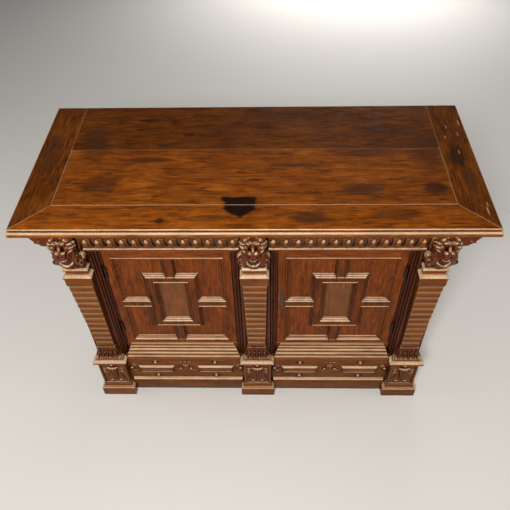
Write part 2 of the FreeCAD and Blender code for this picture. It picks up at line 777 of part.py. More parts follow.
# Key plate, lock case and bolt on the lock stile of the right door.
plate_half = length("key_plate_width") / 2
plate_face = rebate_face - "key_plate_thickness"
blank_plate = board("key_plate_blank", (key_x - plate_half, plate_face, "key_plate_rise"),
                    (key_x + plate_half, rebate_face, length("key_plate_rise") + "key_plate_height"))
plate_hole = round_bar("plate_keyhole", "keyhole_radius", (key_x, plate_face - "overrun", key_z), ALONG_Y,
                       length("key_plate_thickness") + length("overrun") * 2)
keep(cut("key_plate", blank_plate, plate_hole))

lock_low_x = leaf_near + "lock_edge_gap"
lock_high_x = lock_low_x + "lock_width"
lock_low = key_z - length("lock_height") / 2
case_block = board("lock_case_blank", (lock_low_x, leaf_back, lock_low),
                   (lock_high_x, lock_back, lock_low + "lock_height"))
bolt_low = key_z - length("bolt_height") / 2
bolt_near = leaf_back + "bolt_setback"
bolt_far = bolt_near + "bolt_thickness"
clearance = length("bolt_clearance")
slot = board("bolt_slot", (lock_low_x - "overrun", bolt_near - clearance, bolt_low - clearance),
             (lock_low_x + "bolt_length" + clearance, bolt_far + clearance, bolt_low + "bolt_height" + clearance))
keep(cut("lock_case", case_block, slot))
keep(board("lock_bolt", (lock_low_x, bolt_near, bolt_low),
           (lock_low_x + "bolt_length", bolt_far, bolt_low + "bolt_height")))

# Base rails between the posts, each with a sloped moulding that carries the drawer's lower edge.
rail_face = setback("base_rail_setback")
rail_back = rail_face + "base_rail_depth"
rails = []
for name, side in SIDES:
    low_x, high_x = spanning(side, bay_near, bay_far)
    rails.append(board("base_rail_" + name, (low_x, rail_face, "base_rail_rise"),
                       (high_x, rail_back, "base_rail_top")))
    step_edge = length("base_step_width") / 2
    low_x, high_x = spanning(side, step_edge, pilaster_x - step_edge)
    rails.append(moulding("base_moulding_" + name, "YZ_Plane", [
        (rail_face, foot_top), (setback("base_moulding_setback"), foot_top),
        (setback("base_moulding_setback"), foot_top + "base_moulding_lip"),
        (rail_face, "base_rail_top")], low_x, high_x))
keep(group("base_rails", rails))

# Carcass floor, centre partition, shelves and what carries them.
floor_high = sill_low + "floor_thickness"
partition_half = length("partition_thickness") / 2
keep(group("carcass_floor", [
    board("floor_front", (-side_inner_x, post_back, sill_low), (side_inner_x, rear_post_face, floor_high)),
    board("floor_back", (-rear_post_x, rear_post_face, sill_low), (rear_post_x, rear_rail_face, floor_high))]))
partitions = [board("cupboard_partition", (-partition_half, post_back, floor_high),
                    (partition_half, rear_rail_face, top_low))]
shelf_low = length("shelf_rise")
shelf_front = setback("shelf_setback")
bearers = []
for name, side in SIDES:
    low_x, high_x = spanning(side, partition_half + "shelf_end_gap", side_inner_x - "shelf_end_gap")
    keep(board("shelf_" + name, (low_x, shelf_front, shelf_low),
               (high_x, rear_post_face, shelf_low + "shelf_thickness")))
    ends = (("near", partition_half, partition_half + "bearer_width"),
            ("far", side_inner_x - "bearer_width", side_inner_x))
    for place, start, end in ends:
        low_x, high_x = spanning(side, start, end)
        bearers.append(board("shelf_bearer_%s_%s" % (name, place), (low_x, shelf_front, shelf_low - "bearer_height"),
                             (high_x, rear_post_face, shelf_low)))

# Drawers: a front with raised work, and a box of four boards that slides on two runners.
drawer_low = length("drawer_rise")
drawer_high = drawer_low + "drawer_height"
drawer_face = setback("drawer_setback")
drawer_near = length("plinth_block_width") / 2 + "drawer_side_clearance"
drawer_far = pilaster_x - drawer_near
front_back = drawer_face + "drawer_front_thickness"
box_near = drawer_near + "drawer_box_inset"
box_far = drawer_far - "drawer_box_inset"
box_low = drawer_low + "drawer_box_rise"
box_high = box_low + "drawer_box_height"
box_end = rear_rail_face - "drawer_back_clearance"
wall = length("drawer_wall")
runner_high = box_low - "runner_gap"
runner_low = runner_high - "runner_height"
drawer_middle = (drawer_near + drawer_far) / 2
for name, side in SIDES:
    low_x, high_x = spanning(side, drawer_near, drawer_far)
    keep(board("drawer_front_" + name, (low_x, drawer_face, drawer_low), (high_x, front_back, drawer_high)))

    work = []
    panel_half = length("drawer_panel_height") / 2
    panel_z = length("drawer_work_rise")
    for hand, way in SIDES:
        centre = drawer_middle * side + length("drawer_panel_offset") * way
        across = length("drawer_panel_width") / 2
        slope = length("drawer_panel_slope")
        work.append(bevelled("drawer_panel_%s_%s" % (name, hand),
                             drawer_face - "drawer_panel_projection", drawer_face,
                             (centre - across + slope, centre + across - slope,
                              panel_z - panel_half + slope, panel_z + panel_half - slope),
                             (centre - across, centre + across, panel_z - panel_half, panel_z + panel_half)))
        for level, sign in (("low", -1), ("high", 1)):
            work.append(round_bar("drawer_boss_%s_%s_%s" % (name, hand, level), "drawer_boss_radius",
                                  (centre, drawer_face - "drawer_boss_projection",
                                   panel_z + length("drawer_boss_spread") * sign),
                                  ALONG_Y, "drawer_boss_projection"))
    work.append(round_bar("drawer_rosette_" + name, length("drawer_boss_radius") * 2,
                          (drawer_middle * side, drawer_face - "drawer_boss_projection", panel_z),
                          ALONG_Y, "drawer_boss_projection"))
    keep(group("drawer_ornament_" + name, work))

    boards = []
    for place, start, end in (("near", box_near, box_near + wall), ("far", box_far - wall, box_far)):
        low_x, high_x = spanning(side, start, end)
        boards.append(board("drawer_side_%s_%s" % (name, place), (low_x, front_back, box_low),
                            (high_x, box_end, box_high)))
    low_x, high_x = spanning(side, box_near + wall, box_far - wall)
    bottom_low = box_low + "drawer_bottom_lift"
    bottom_high = bottom_low + "drawer_bottom_thickness"
    boards.append(board("drawer_bottom_" + name, (low_x, front_back, bottom_low), (high_x, box_end, bottom_high)))
    boards.append(board("drawer_back_" + name, (low_x, box_end - wall, bottom_high), (high_x, box_end, box_high)))
    keep(group("drawer_box_" + name, boards))

    for place, start, end in (("near", box_near, box_near + "runner_width"),
                              ("far", box_far - "runner_width", box_far)):
        low_x, high_x = spanning(side, start, end)
        bearers.append(board("runner_%s_%s" % (name, place), (low_x, rail_back, runner_low),
                             (high_x, rear_rail_face, runner_high)))
keep(group("bearers_and_runners", bearers))
partitions.append(board("drawer_divider", (-partition_half, post_back, runner_low),
                        (partition_half, rear_rail_face, sill_low)))
keep(group("partitions", partitions))

doc.recompute()
for item in doc.Objects:
    if "Invalid" in item.State or "Error" in item.State:
        raise RuntimeError("%s did not recompute: %s" % (item.Name, item.State))
os.makedirs("parts", exist_ok=True)
for item in nodes:
    if item.Shape.isNull() or not item.Shape.isValid():
        raise RuntimeError("%s has no valid shape" % item.Label)
for item in nodes:
    item.Shape.exportStep("parts/%s.step" % item.Label)
print("%d nodes written" % len(nodes))
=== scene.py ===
import math
import random

import bmesh
import bpy
from mathutils import Euler, Matrix, Vector


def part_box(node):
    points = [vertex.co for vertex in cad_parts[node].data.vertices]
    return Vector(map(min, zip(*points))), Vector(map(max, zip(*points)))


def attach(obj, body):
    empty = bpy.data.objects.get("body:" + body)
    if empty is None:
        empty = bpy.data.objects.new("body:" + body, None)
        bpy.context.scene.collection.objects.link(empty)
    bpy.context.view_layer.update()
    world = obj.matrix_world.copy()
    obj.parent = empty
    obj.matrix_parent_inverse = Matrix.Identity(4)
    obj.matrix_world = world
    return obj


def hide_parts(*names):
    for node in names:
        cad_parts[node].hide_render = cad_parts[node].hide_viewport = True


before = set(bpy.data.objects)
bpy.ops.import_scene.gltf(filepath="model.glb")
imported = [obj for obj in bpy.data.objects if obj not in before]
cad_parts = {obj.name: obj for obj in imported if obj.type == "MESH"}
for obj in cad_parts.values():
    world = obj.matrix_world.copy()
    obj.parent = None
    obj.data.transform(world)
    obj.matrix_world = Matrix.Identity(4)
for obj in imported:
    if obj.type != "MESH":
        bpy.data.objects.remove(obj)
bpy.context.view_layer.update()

# Camera: it stands in front of the sideboard and well above it, and looks down at 47 degrees.
# It is placed from the top's front edge, and turned and tilted by the small angles that the photograph shows.
top_low, top_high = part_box("top_front_rail")
PHOTO_SIDE = 510
FOCAL_PIXELS = 579.0
PITCH = math.radians(47.27)
YAW = math.radians(-2.21)
ROLL = math.radians(-1.68)
EYE_FROM_EDGE = Vector((0.055, -1.221, 1.218))
ahead = Vector((math.sin(YAW) * math.cos(PITCH), math.cos(YAW) * math.cos(PITCH), -math.sin(PITCH)))
level_right = Vector((math.cos(YAW), -math.sin(YAW), 0))
level_up = level_right.cross(ahead)
right = level_right * math.cos(ROLL) + level_up * math.sin(ROLL)
up = level_up * math.cos(ROLL) - level_right * math.sin(ROLL)
camera = bpy.data.objects.new("camera", bpy.data.cameras.new("camera"))
camera.data.lens = camera.data.sensor_width * FOCAL_PIXELS / PHOTO_SIDE
turn = Matrix((right, up, -ahead)).transposed()
camera.matrix_world = Matrix.Translation(Vector((0, top_low.y, top_high.z)) + EYE_FROM_EDGE) @ turn.to_4x4()
bpy.context.scene.collection.objects.link(camera)
bpy.context.scene.camera = camera

# Floor and light: a plain pale floor, a soft lamp overhead and in front, weaker ones behind and at both
# sides, and a dim even room that fills the shadows.
bpy.context.scene.view_settings.view_transform = "Standard"
FLOOR_REACH = 7.0
floor_paint = bpy.data.materials.new("floor_paint")
floor_paint.use_nodes = True
floor_shader = floor_paint.node_tree.nodes["Principled BSDF"]
floor_shader.inputs["Base Color"].default_value = (0.7, 0.69, 0.67, 1)
floor_shader.inputs["Roughness"].default_value = 0.8
floor_shader.inputs["Specular IOR Level"].default_value = 0.2
floor_corners = [(x * FLOOR_REACH, y * FLOOR_REACH, 0) for x, y in ((-1, -1), (1, -1), (1, 1), (-1, 1))]
floor_mesh = bpy.data.meshes.new("floor")
floor_mesh.from_pydata(floor_corners, [], [(0, 1, 2, 3)])
floor = bpy.data.objects.new("floor", floor_mesh)
floor_mesh.materials.append(floor_paint)
bpy.context.scene.collection.objects.link(floor)


def lamp(name, place, target, size, power, tint):
    data = bpy.data.lights.new(name, "AREA")
    data.shape = "RECTANGLE"
    data.size, data.size_y = size
    data.energy = power
    data.color = tint
    item = bpy.data.objects.new(name, data)
    item.location = place
    item.rotation_mode = "QUATERNION"
    item.rotation_quaternion = (Vector(target) - Vector(place)).to_track_quat("-Z", "Y")
    bpy.context.scene.collection.objects.link(item)


CASE_MIDDLE = (0, 0, 0.6)
DAYLIGHT = (1, 0.97, 0.93)
lamp("key_lamp", (-0.3, -2.35, 2.95), (0, -0.1, 0.6), (0.8, 0.5), 116, (1, 0.96, 0.9))
lamp("back_lamp", (0.9, 4.6, 1.1), CASE_MIDDLE, (2.4, 0.8), 78, DAYLIGHT)
lamp("left_lamp", (-3.4, -0.2, 0.95), CASE_MIDDLE, (1.6, 0.9), 34, DAYLIGHT)
lamp("right_lamp", (3.4, -0.2, 0.95), CASE_MIDDLE, (1.6, 0.9), 34, DAYLIGHT)
world = bpy.data.worlds.new("room")
world.use_nodes = True
room = world.node_tree.nodes["Background"]
room.inputs["Color"].default_value = (0.9, 0.9, 0.9, 1)
room.inputs["Strength"].default_value = 0.12
bpy.context.scene.world = world

# Top: two boards in a mitred frame of old oak, laid on the case. The front rail and both end boards carry a
# worked nosing: a torus below, a groove, and a small bead along the upper arris. The wood is worn and
# stained, and darker at the ends. The back board is a darker copy of the top's oak, as painted shade, and the
# slopes of the nosings carry a painted highlight.
GRAIN_STRETCH, FIGURE_STRETCH = 0.055, 0.24
BOARD_SHIFT = (3.1, 5.7, 4.3)
BLACK, WHITE = (0, 0, 0), (1, 1, 1)
AGED_TINT = (0.56, 0.47, 0.42)
# Cream tone of the painted highlight on slopes that face upwards.
SLOPE_HIGHLIGHT_TONE = (0.76, 0.54, 0.34)
# Tone of edges lightened partly by rubbing and partly as a painted highlight.
RUBBED_EDGE_AND_HIGHLIGHT = (0.5, 0.27, 0.13)
# Pores are dark in the wood itself; the other two shares give painted shade, on faces that look to the left,
# right and down, and in hollows.
PORE_SHADE, SHELTER_SHADE, HOLLOW_SHADE_SHARE = 0.38, 0.16, 0.07
EDGE_REACH = 0.0035
WAX_SHINE = 0.11
SOOT, KNOT, DULL, SCUFF = (0.012, 0.005, 0.003), (0.03, 0.01, 0.004), (0.06, 0.02, 0.007), (0.5, 0.34, 0.24)


def joined(tree, kind, inputs, **settings):
    """A node with its settings and its inputs, each a value or another node's socket."""
    node = tree.nodes.new(kind)
    for key, value in settings.items():
        setattr(node, key, value)
    for key, value in inputs.items():
        if isinstance(value, bpy.types.NodeSocket):
            tree.links.new(value, node.inputs[key])
        else:
            node.inputs[key].default_value = value
    return node


def maths(tree, operation, *values):
    return joined(tree, "ShaderNodeMath", dict(enumerate(values)), operation=operation).outputs[0]


def vectors(tree, operation, first, second):
    return joined(tree, "ShaderNodeVectorMath", {0: first, 1: second}, operation=operation).outputs[0]


def levels(tree, source, low, high, at_low=0.0, at_high=1.0):
    """A value brought from one range to another and held at its ends."""
    return joined(tree, "ShaderNodeMapRange", {0: source, 1: low, 2: high, 3: at_low, 4: at_high}).outputs[0]


def noise(tree, place, scale, detail, roughness=0.5, distortion=0.0):
    return joined(tree, "ShaderNodeTexNoise", {
        "Vector": place, "Scale": scale, "Detail": detail, "Roughness": roughness, "Distortion": distortion,
    }).outputs["Fac"]


def ramp(tree, source, stops):
    node = joined(tree, "ShaderNodeValToRGB", {"Fac": source})
    elements = node.color_ramp.elements
    while len(elements) < len(stops):
        elements.new(0.5)
    for element, (place, colour) in zip(elements, stops):
        element.position = place
        element.color = (*colour, 1)
    return node.outputs["Color"]


def mixed(tree, factor, first, second, blend="MIX"):
    """Two colours mixed, each a node's socket or three numbers."""
    inputs = {"Factor": factor}
    for place, colour in ((6, first), (7, second)):
        inputs[place] = colour if isinstance(colour, bpy.types.NodeSocket) else (*colour, 1)
    return joined(tree, "ShaderNodeMix", inputs, data_type="RGBA", blend_type=blend).outputs[2]


def scaled(colour, share):
    return tuple(channel * share for channel in colour)


def new_material(name):
    """A material, its node tree, its shader's inputs and the coordinates on the piece."""
    material = bpy.data.materials.new(name)
    material.use_nodes = True
    tree = material.node_tree
    shader = tree.nodes["Principled BSDF"].inputs
    return material, tree, shader, joined(tree, "ShaderNodeTexCoord", {}).outputs


def stained(tree, wood, here, fibre, figure, marks, blot):
    """Marks are ragged ovals: x, y, two radii, depth and tone. A blot is a spill's outline, clockwise."""
    for x, y, radius_x, radius_y, depth, tone in marks:
        gap = vectors(tree, "SUBTRACT", here, (x, y, 0))
        gap = vectors(tree, "MULTIPLY", gap, (1 / radius_x, 1 / radius_y, 0))
        reach = joined(tree, "ShaderNodeVectorMath", {0: gap}, operation="LENGTH").outputs["Value"]
        ragged = maths(tree, "MULTIPLY_ADD", fibre, 0.5, reach)
        ragged = maths(tree, "MULTIPLY_ADD", figure, 0.9, ragged)
        wood = mixed(tree, levels(tree, ragged, 1.35, 1.95, depth, 0.0), wood, tone)
    if not blot:
        return wood
    corners = [Vector((x, y, 0)) for x, y in blot]
    middle = sum(corners, Vector((0, 0, 0))) / len(corners)
    gap = vectors(tree, "SUBTRACT", here, middle)
    reach = fibre
    for first, second in zip(corners, corners[1:] + corners[:1]):
        edge = second - first
        outward = Vector((edge.y, -edge.x, 0)).normalized()
        outward /= outward.dot(first - middle)
        share = joined(tree, "ShaderNodeVectorMath", {0: gap, 1: outward}, operation="DOT_PRODUCT")
        reach = maths(tree, "MAXIMUM", reach, share.outputs["Value"])
    ragged = maths(tree, "MULTIPLY_ADD", figure, 0.8, reach)
    return mixed(tree, levels(tree, ragged, 1.3, 1.52, 1.0, 0.0), wood, SOOT)


def oak(name, colour, grain, gloss, contrast, patina, shade_reach=0.014, marks=(), blot=(), slope_highlight=0.0, edge_rub_and_highlight=0.5,
        side_shade=0.0, worked=0.15, flat_top=False):
    """Waxed oak whose grain runs along one axis. The setting after patina is how far painted shade reaches into
    hollows. Of the settings after the spill, the first is how strongly slopes that face upwards carry a painted
    highlight, the second how far edges are lightened, partly by rubbing and partly as a painted highlight, the
    third how dark faces turned to the left and right are painted as shade, the fourth how far chisel marks break
    up the painted highlight, and the last keeps level tops free of it. Faces that look downwards are painted
    darker as shade."""
    material, tree, shader, coordinates = new_material(name)
    here = coordinates["Object"]
    board = joined(tree, "ShaderNodeAttribute", {}, attribute_name="board").outputs["Fac"]
    shift = joined(tree, "ShaderNodeVectorMath", {0: BOARD_SHIFT, "Scale": board},
                   operation="SCALE").outputs[0]
    place = vectors(tree, "ADD", here, shift)

    def along(stretch):
        scale = [stretch if axis == grain else 1.0 for axis in "XYZ"]
        return joined(tree, "ShaderNodeMapping", {"Vector": place, "Scale": scale}).outputs[0]

    fibre = noise(tree, along(GRAIN_STRETCH), 240.0, 5.0, 0.65, 0.3)
    figure = noise(tree, along(FIGURE_STRETCH), 44.0, 7.0, 0.55, 1.1)
    pores = noise(tree, along(GRAIN_STRETCH / 2), 620.0, 2.0)
    cloud = noise(tree, place, 5.5, 9.0, 0.68, 0.4)
    both = maths(tree, "MULTIPLY_ADD", fibre, 0.55, maths(tree, "MULTIPLY", figure, 0.45))
    spread = 0.16 / contrast
    wood = ramp(tree, both, [
        (0.5 - spread, scaled(colour, PORE_SHADE)), (0.5 - spread / 4, scaled(colour, 0.86)),
        (0.5 + spread / 3, scaled(colour, 1.12)), (0.5 + spread, scaled(colour, 1.55))])
    pore = ramp(tree, pores, [(0.6, BLACK), (0.68, WHITE)])
    wood = mixed(tree, pore, wood, scaled(colour, PORE_SHADE))
    age = ramp(tree, cloud, [(0.36, BLACK), (0.66, WHITE)])
    aged = mixed(tree, 1.0, wood, AGED_TINT, "MULTIPLY")
    wood = mixed(tree, maths(tree, "MULTIPLY", age, patina), wood, aged)
    tone = levels(tree, noise(tree, shift, 1.7, 0.0), 0.0, 1.0, 0.9, 1.1)
    board_tone = joined(tree, "ShaderNodeCombineColor", {0: tone, 1: tone, 2: tone}).outputs[0]
    wood = mixed(tree, 1.0, wood, board_tone, "MULTIPLY")
    wood = stained(tree, wood, here, fibre, figure, marks, blot)
    facing = joined(tree, "ShaderNodeSeparateXYZ", {0: coordinates["Normal"]}).outputs
    # Faces turned to the left and right, and faces that look downwards, are painted darker: painted shade.
    side_shade_mask = levels(tree, maths(tree, "ABSOLUTE", facing["X"]), 0.25, 0.7, 0.0, side_shade)
    below = levels(tree, facing["Z"], -0.1, -0.55, 0.0, 0.65)
    wood = mixed(tree, maths(tree, "MAXIMUM", side_shade_mask, below), wood, scaled(colour, SHELTER_SHADE))
    # Slopes that face upwards are lightened to a cream tone: a painted highlight. Level tops can be kept out of
    # it, and chisel marks break it up.
    if slope_highlight:
        highlight_mask = levels(tree, facing["Z"], 0.36, 0.74, 0.0, slope_highlight)
        if flat_top:
            highlight_mask = maths(tree, "MULTIPLY", highlight_mask, levels(tree, facing["Z"], 0.93, 0.99, 1.0, 0.0))
        patchy = levels(tree, figure, 0.3, 0.62, 0.65, 1.0)
        broken = levels(tree, noise(tree, place, 150.0, 3.0, 0.6), 0.4, 0.58, 1.0 - worked, 1.0)
        highlight_mask = maths(tree, "MULTIPLY", maths(tree, "MULTIPLY", highlight_mask, patchy), broken)
        wood = mixed(tree, highlight_mask, wood, SLOPE_HIGHLIGHT_TONE)
    # Thin edges are lightened, partly as real rubbing and partly as a painted highlight along the arrises.
    solid = joined(tree, "ShaderNodeAmbientOcclusion", {"Distance": EDGE_REACH}, samples=6, inside=True,
                   only_local=True).outputs["AO"]
    rubbed_and_highlit = ramp(tree, solid, [(0.45, (edge_rub_and_highlight, edge_rub_and_highlight, edge_rub_and_highlight)), (0.82, BLACK)])
    wood = mixed(tree, rubbed_and_highlit, wood, RUBBED_EDGE_AND_HIGHLIGHT)
    # Hollows are darkened by ambient occlusion: painted shade.
    hollow = joined(tree, "ShaderNodeAmbientOcclusion", {"Distance": shade_reach}, samples=6).outputs["AO"]
    hollow_shade = ramp(tree, hollow, [(0.34, WHITE), (0.9, BLACK)])
    tree.links.new(mixed(tree, hollow_shade, wood, scaled(colour, HOLLOW_SHADE_SHARE)), shader["Base Color"])
    rough = levels(tree, cloud, 0.3, 0.7, gloss - 0.07, gloss + 0.1)
    tree.links.new(maths(tree, "MULTIPLY_ADD", fibre, 0.12, rough), shader["Roughness"])
    shader["Specular IOR Level"].default_value = WAX_SHINE
    relief = maths(tree, "MULTIPLY_ADD", figure, 0.7, maths(tree, "MULTIPLY_ADD", pore, -0.6, fibre))
    bump = joined(tree, "ShaderNodeBump", {"Strength": 0.32, "Distance": 0.0009, "Height": relief})
    tree.links.new(bump.outputs[0], shader["Normal"])
    return material


dice = random.Random(7)
ONE_BLOCK = 0.0


def fresh():
    """An empty mesh whose points carry the number of their board, which shifts its grain."""
    shape = bmesh.new()
    shape.verts.layers.float.new("board")
    return shape


def numbered(shape, verts, number=None):
    layer = shape.verts.layers.float["board"]
    number = dice.random() * 9 if number is None else number
    for vert in verts:
        vert[layer] = number


def block(shape, low, high, number=None):
    corners = [shape.verts.new((x, y, z)) for z in (low[2], high[2]) for y in (low[1], high[1])
               for x in (low[0], high[0])]
    for face in ((0, 2, 3, 1), (4, 5, 7, 6), (0, 1, 5, 4), (2, 6, 7, 3), (0, 4, 6, 2), (1, 3, 7, 5)):
        shape.faces.new([corners[index] for index in face])
    numbered(shape, corners, number)


def run(shape, sections, number=None, looped=False):
    """A solid through a row of like outlines, each a list of points in space. A looped one meets itself."""
    rows = [[shape.verts.new(point) for point in section] for section in sections]
    count = len(rows[0])
    for first, second in zip(rows, rows[1:] + rows[:1] if looped else rows[1:]):
        for index in range(count):
            after = (index + 1) % count
            shape.faces.new((first[index], first[after], second[after], second[index]))
    if not looped:
        shape.faces.new(rows[0][::-1])
        shape.faces.new(rows[-1])
    numbered(shape, [vert for row in rows for vert in row], number)


def piece(name, shape, material, body="carcass", nodes=(), bevel=0.0008, split=38):
    """Finishes a mesh as an object and fastens it to its body. split is the angle that makes a sharp edge."""
    bmesh.ops.recalc_face_normals(shape, faces=shape.faces)
    mesh = bpy.data.meshes.new(name)
    shape.to_mesh(mesh)
    shape.free()
    item = bpy.data.objects.new(name, mesh)
    bpy.context.scene.collection.objects.link(item)
    mesh.materials.append(material)
    mesh.polygons.foreach_set("use_smooth", [True] * len(mesh.polygons))
    if bevel:
        edge = item.modifiers.new("edge", "BEVEL")
        edge.width = bevel
        edge.segments = 2
        edge.angle_limit = math.radians(split)
        edge.harden_normals = True
    else:
        mesh.set_sharp_from_angle(angle=math.radians(split))
    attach(item, body)
    if nodes:
        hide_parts(*nodes)


def half_round(setback, z, depth, rise, start, end, step):
    """Points of a moulding that bulges forwards, from its lower to its upper edge, in degrees."""
    return [(setback - depth * math.sin(math.radians(angle)), z - rise * math.cos(math.radians(angle)))
            for angle in range(start, end + 1, step)]


half = top_high.x
front = top_low.y
border = top_high.y - top_low.y
underside, surface = top_low.z, top_high.z
TORUS, BEAD = 0.011, 0.004
groove = underside + 2 * TORUS
nosing = [(border, underside), (TORUS + 0.002, underside)]
nosing += half_round(TORUS, underside + TORUS, TORUS, TORUS, 0, 180, 18)
nosing += [(0.0135, groove + 0.001), (0.0125, groove + 0.003), (0.0075, groove + 0.0045)]
nosing += half_round(0.009, surface - BEAD, BEAD, BEAD, 60, 180, 20)
nosing += [(border, surface)]
TOP_COLOUR = (0.245, 0.066, 0.006)
BACK_SHADE, END_SHADE = 0.56, 0.62
SPILL = ((-0.097, -0.177), (0.011, -0.173), (0.006, -0.233), (-0.036, -0.273), (-0.087, -0.237))
STAINS = (
    (-0.399, 0.243, 0.024, 0.01, 0.9, KNOT), (-0.409, 0.187, 0.016, 0.007, 0.9, KNOT),
    (-0.233, 0.155, 0.022, 0.01, 0.9, KNOT), (-0.283, -0.285, 0.015, 0.013, 0.9, KNOT),
    (0.175, -0.272, 0.06, 0.028, 0.85, DULL), (0.44, -0.262, 0.08, 0.024, 0.6, DULL),
    (0.347, -0.146, 0.07, 0.03, 0.8, DULL), (0.58, -0.138, 0.045, 0.03, 0.8, KNOT),
    (0.01, -0.092, 0.03, 0.006, 0.9, KNOT), (0.463, 0.177, 0.09, 0.04, 0.8, DULL),
    (-0.352, 0.013, 0.09, 0.014, 0.8, DULL), (0.12, 0.27, 0.13, 0.03, 0.8, DULL),
    (0.42, 0.06, 0.15, 0.04, 0.55, DULL), (-0.5, -0.12, 0.07, 0.05, 0.6, DULL),
    (-0.56, 0.12, 0.05, 0.09, 0.7, DULL), (0.15, -0.02, 0.08, 0.01, 0.7, DULL),
    (0.59, 0.06, 0.04, 0.11, 0.7, DULL), (-0.15, -0.275, 0.1, 0.014, 0.5, DULL))
END_MARKS = (
    (0.684, 0.026, 0.03, 0.06, 0.85, KNOT), (0.719, -0.245, 0.003, 0.018, 0.6, SCUFF),
    (0.729, 0.217, 0.0024, 0.018, 0.7, SCUFF), (0.681, 0.193, 0.0022, 0.01, 0.6, SCUFF),
    (0.666, 0.133, 0.002, 0.008, 0.6, SCUFF), (0.695, 0.048, 0.0022, 0.012, 0.6, SCUFF),
    (0.712, 0.15, 0.0018, 0.014, 0.6, SCUFF), (0.724, -0.215, 0.002, 0.012, 0.6, SCUFF),
    (-0.7, 0.06, 0.03, 0.11, 0.5, DULL), (0.7, -0.1, 0.025, 0.06, 0.6, DULL))
top_oak = oak("top_oak", TOP_COLOUR, "X", 0.25, 1.4, 0.9, marks=STAINS, blot=SPILL, slope_highlight=1.0, edge_rub_and_highlight=0.8,
              flat_top=True)
# The back board is painted darker as shade.
shaded_back_oak = oak("top_back_shaded_oak", scaled(TOP_COLOUR, BACK_SHADE), "X", 0.28, 1.5, 0.8, marks=STAINS,
                     edge_rub_and_highlight=0.6)
end_oak = oak("top_end_oak", scaled(TOP_COLOUR, END_SHADE), "Y", 0.27, 1.5, 0.9, marks=END_MARKS, slope_highlight=0.7,
              edge_rub_and_highlight=0.8, flat_top=True)
shape = fresh()
run(shape, [[(-half + d, front + d, z) for d, z in nosing], [(half - d, front + d, z) for d, z in nosing]])
piece("top_rail_worked", shape, top_oak, nodes=["top_front_rail"], bevel=0.0005)
for name, side in (("left", -1), ("right", 1)):
    low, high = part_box("top_end_" + name)
    shape = fresh()
    run(shape, [[(side * (half - d), front + d, z) for d, z in nosing],
                [(side * (half - d), high.y, z) for d, z in nosing]])
    piece("top_end_worked_" + name, shape, end_oak, nodes=["top_end_" + name], bevel=0.0005)
for name, finish in (("top_centre_board", top_oak), ("top_back_board", shaded_back_oak)):
    shape = fresh()
    block(shape, *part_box(name))
    piece(name + "_worn", shape, finish, nodes=[name], bevel=0.0012)

# Frieze: a rail in each bay carries a half-round bead, a band of carved gadroons and a cove under the top.
# Every gadroon is one plump lobe with a thin dart beside it, all cut from one length of oak and waxed, and
# along each side the same band runs from the corner console to the rear post.
carved_level = oak("carved_level_oak", (0.172, 0.046, 0.005), "X", 0.22, 0.9, 0.5, 0.01, slope_highlight=0.85, edge_rub_and_highlight=0.3,
                   side_shade=0.5, worked=0.3)
carved_deep = oak("carved_side_oak", (0.15, 0.034, 0.0045), "Y", 0.24, 0.9, 0.45, 0.01, slope_highlight=0.6, edge_rub_and_highlight=0.5)
fascia_oak = oak("fascia_oak", (0.12, 0.022, 0.0025), "X", 0.26, 1.0, 0.5, edge_rub_and_highlight=0.3)


def dressed(stems, material):
    """Gives a material to carried-over nodes, which are named by the first words of their names."""
    for name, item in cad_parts.items():
        if name.startswith(stems):
            item.data.materials.clear()
            item.data.materials.append(material)


def at(x, setback, z):
    """A point by its distance behind the top's front edge."""
    return (x, front + setback, z)


def span(side, near, far):
    """The two ends of a stretch on one side of the middle, from left to right."""
    return sorted((side * near, side * far))


def length_of(shape, profile, start, end):
    """Moulding along X: profile is (setback, z)."""
    run(shape, [[at(x, s, z) for s, z in profile] for x in (start, end)])


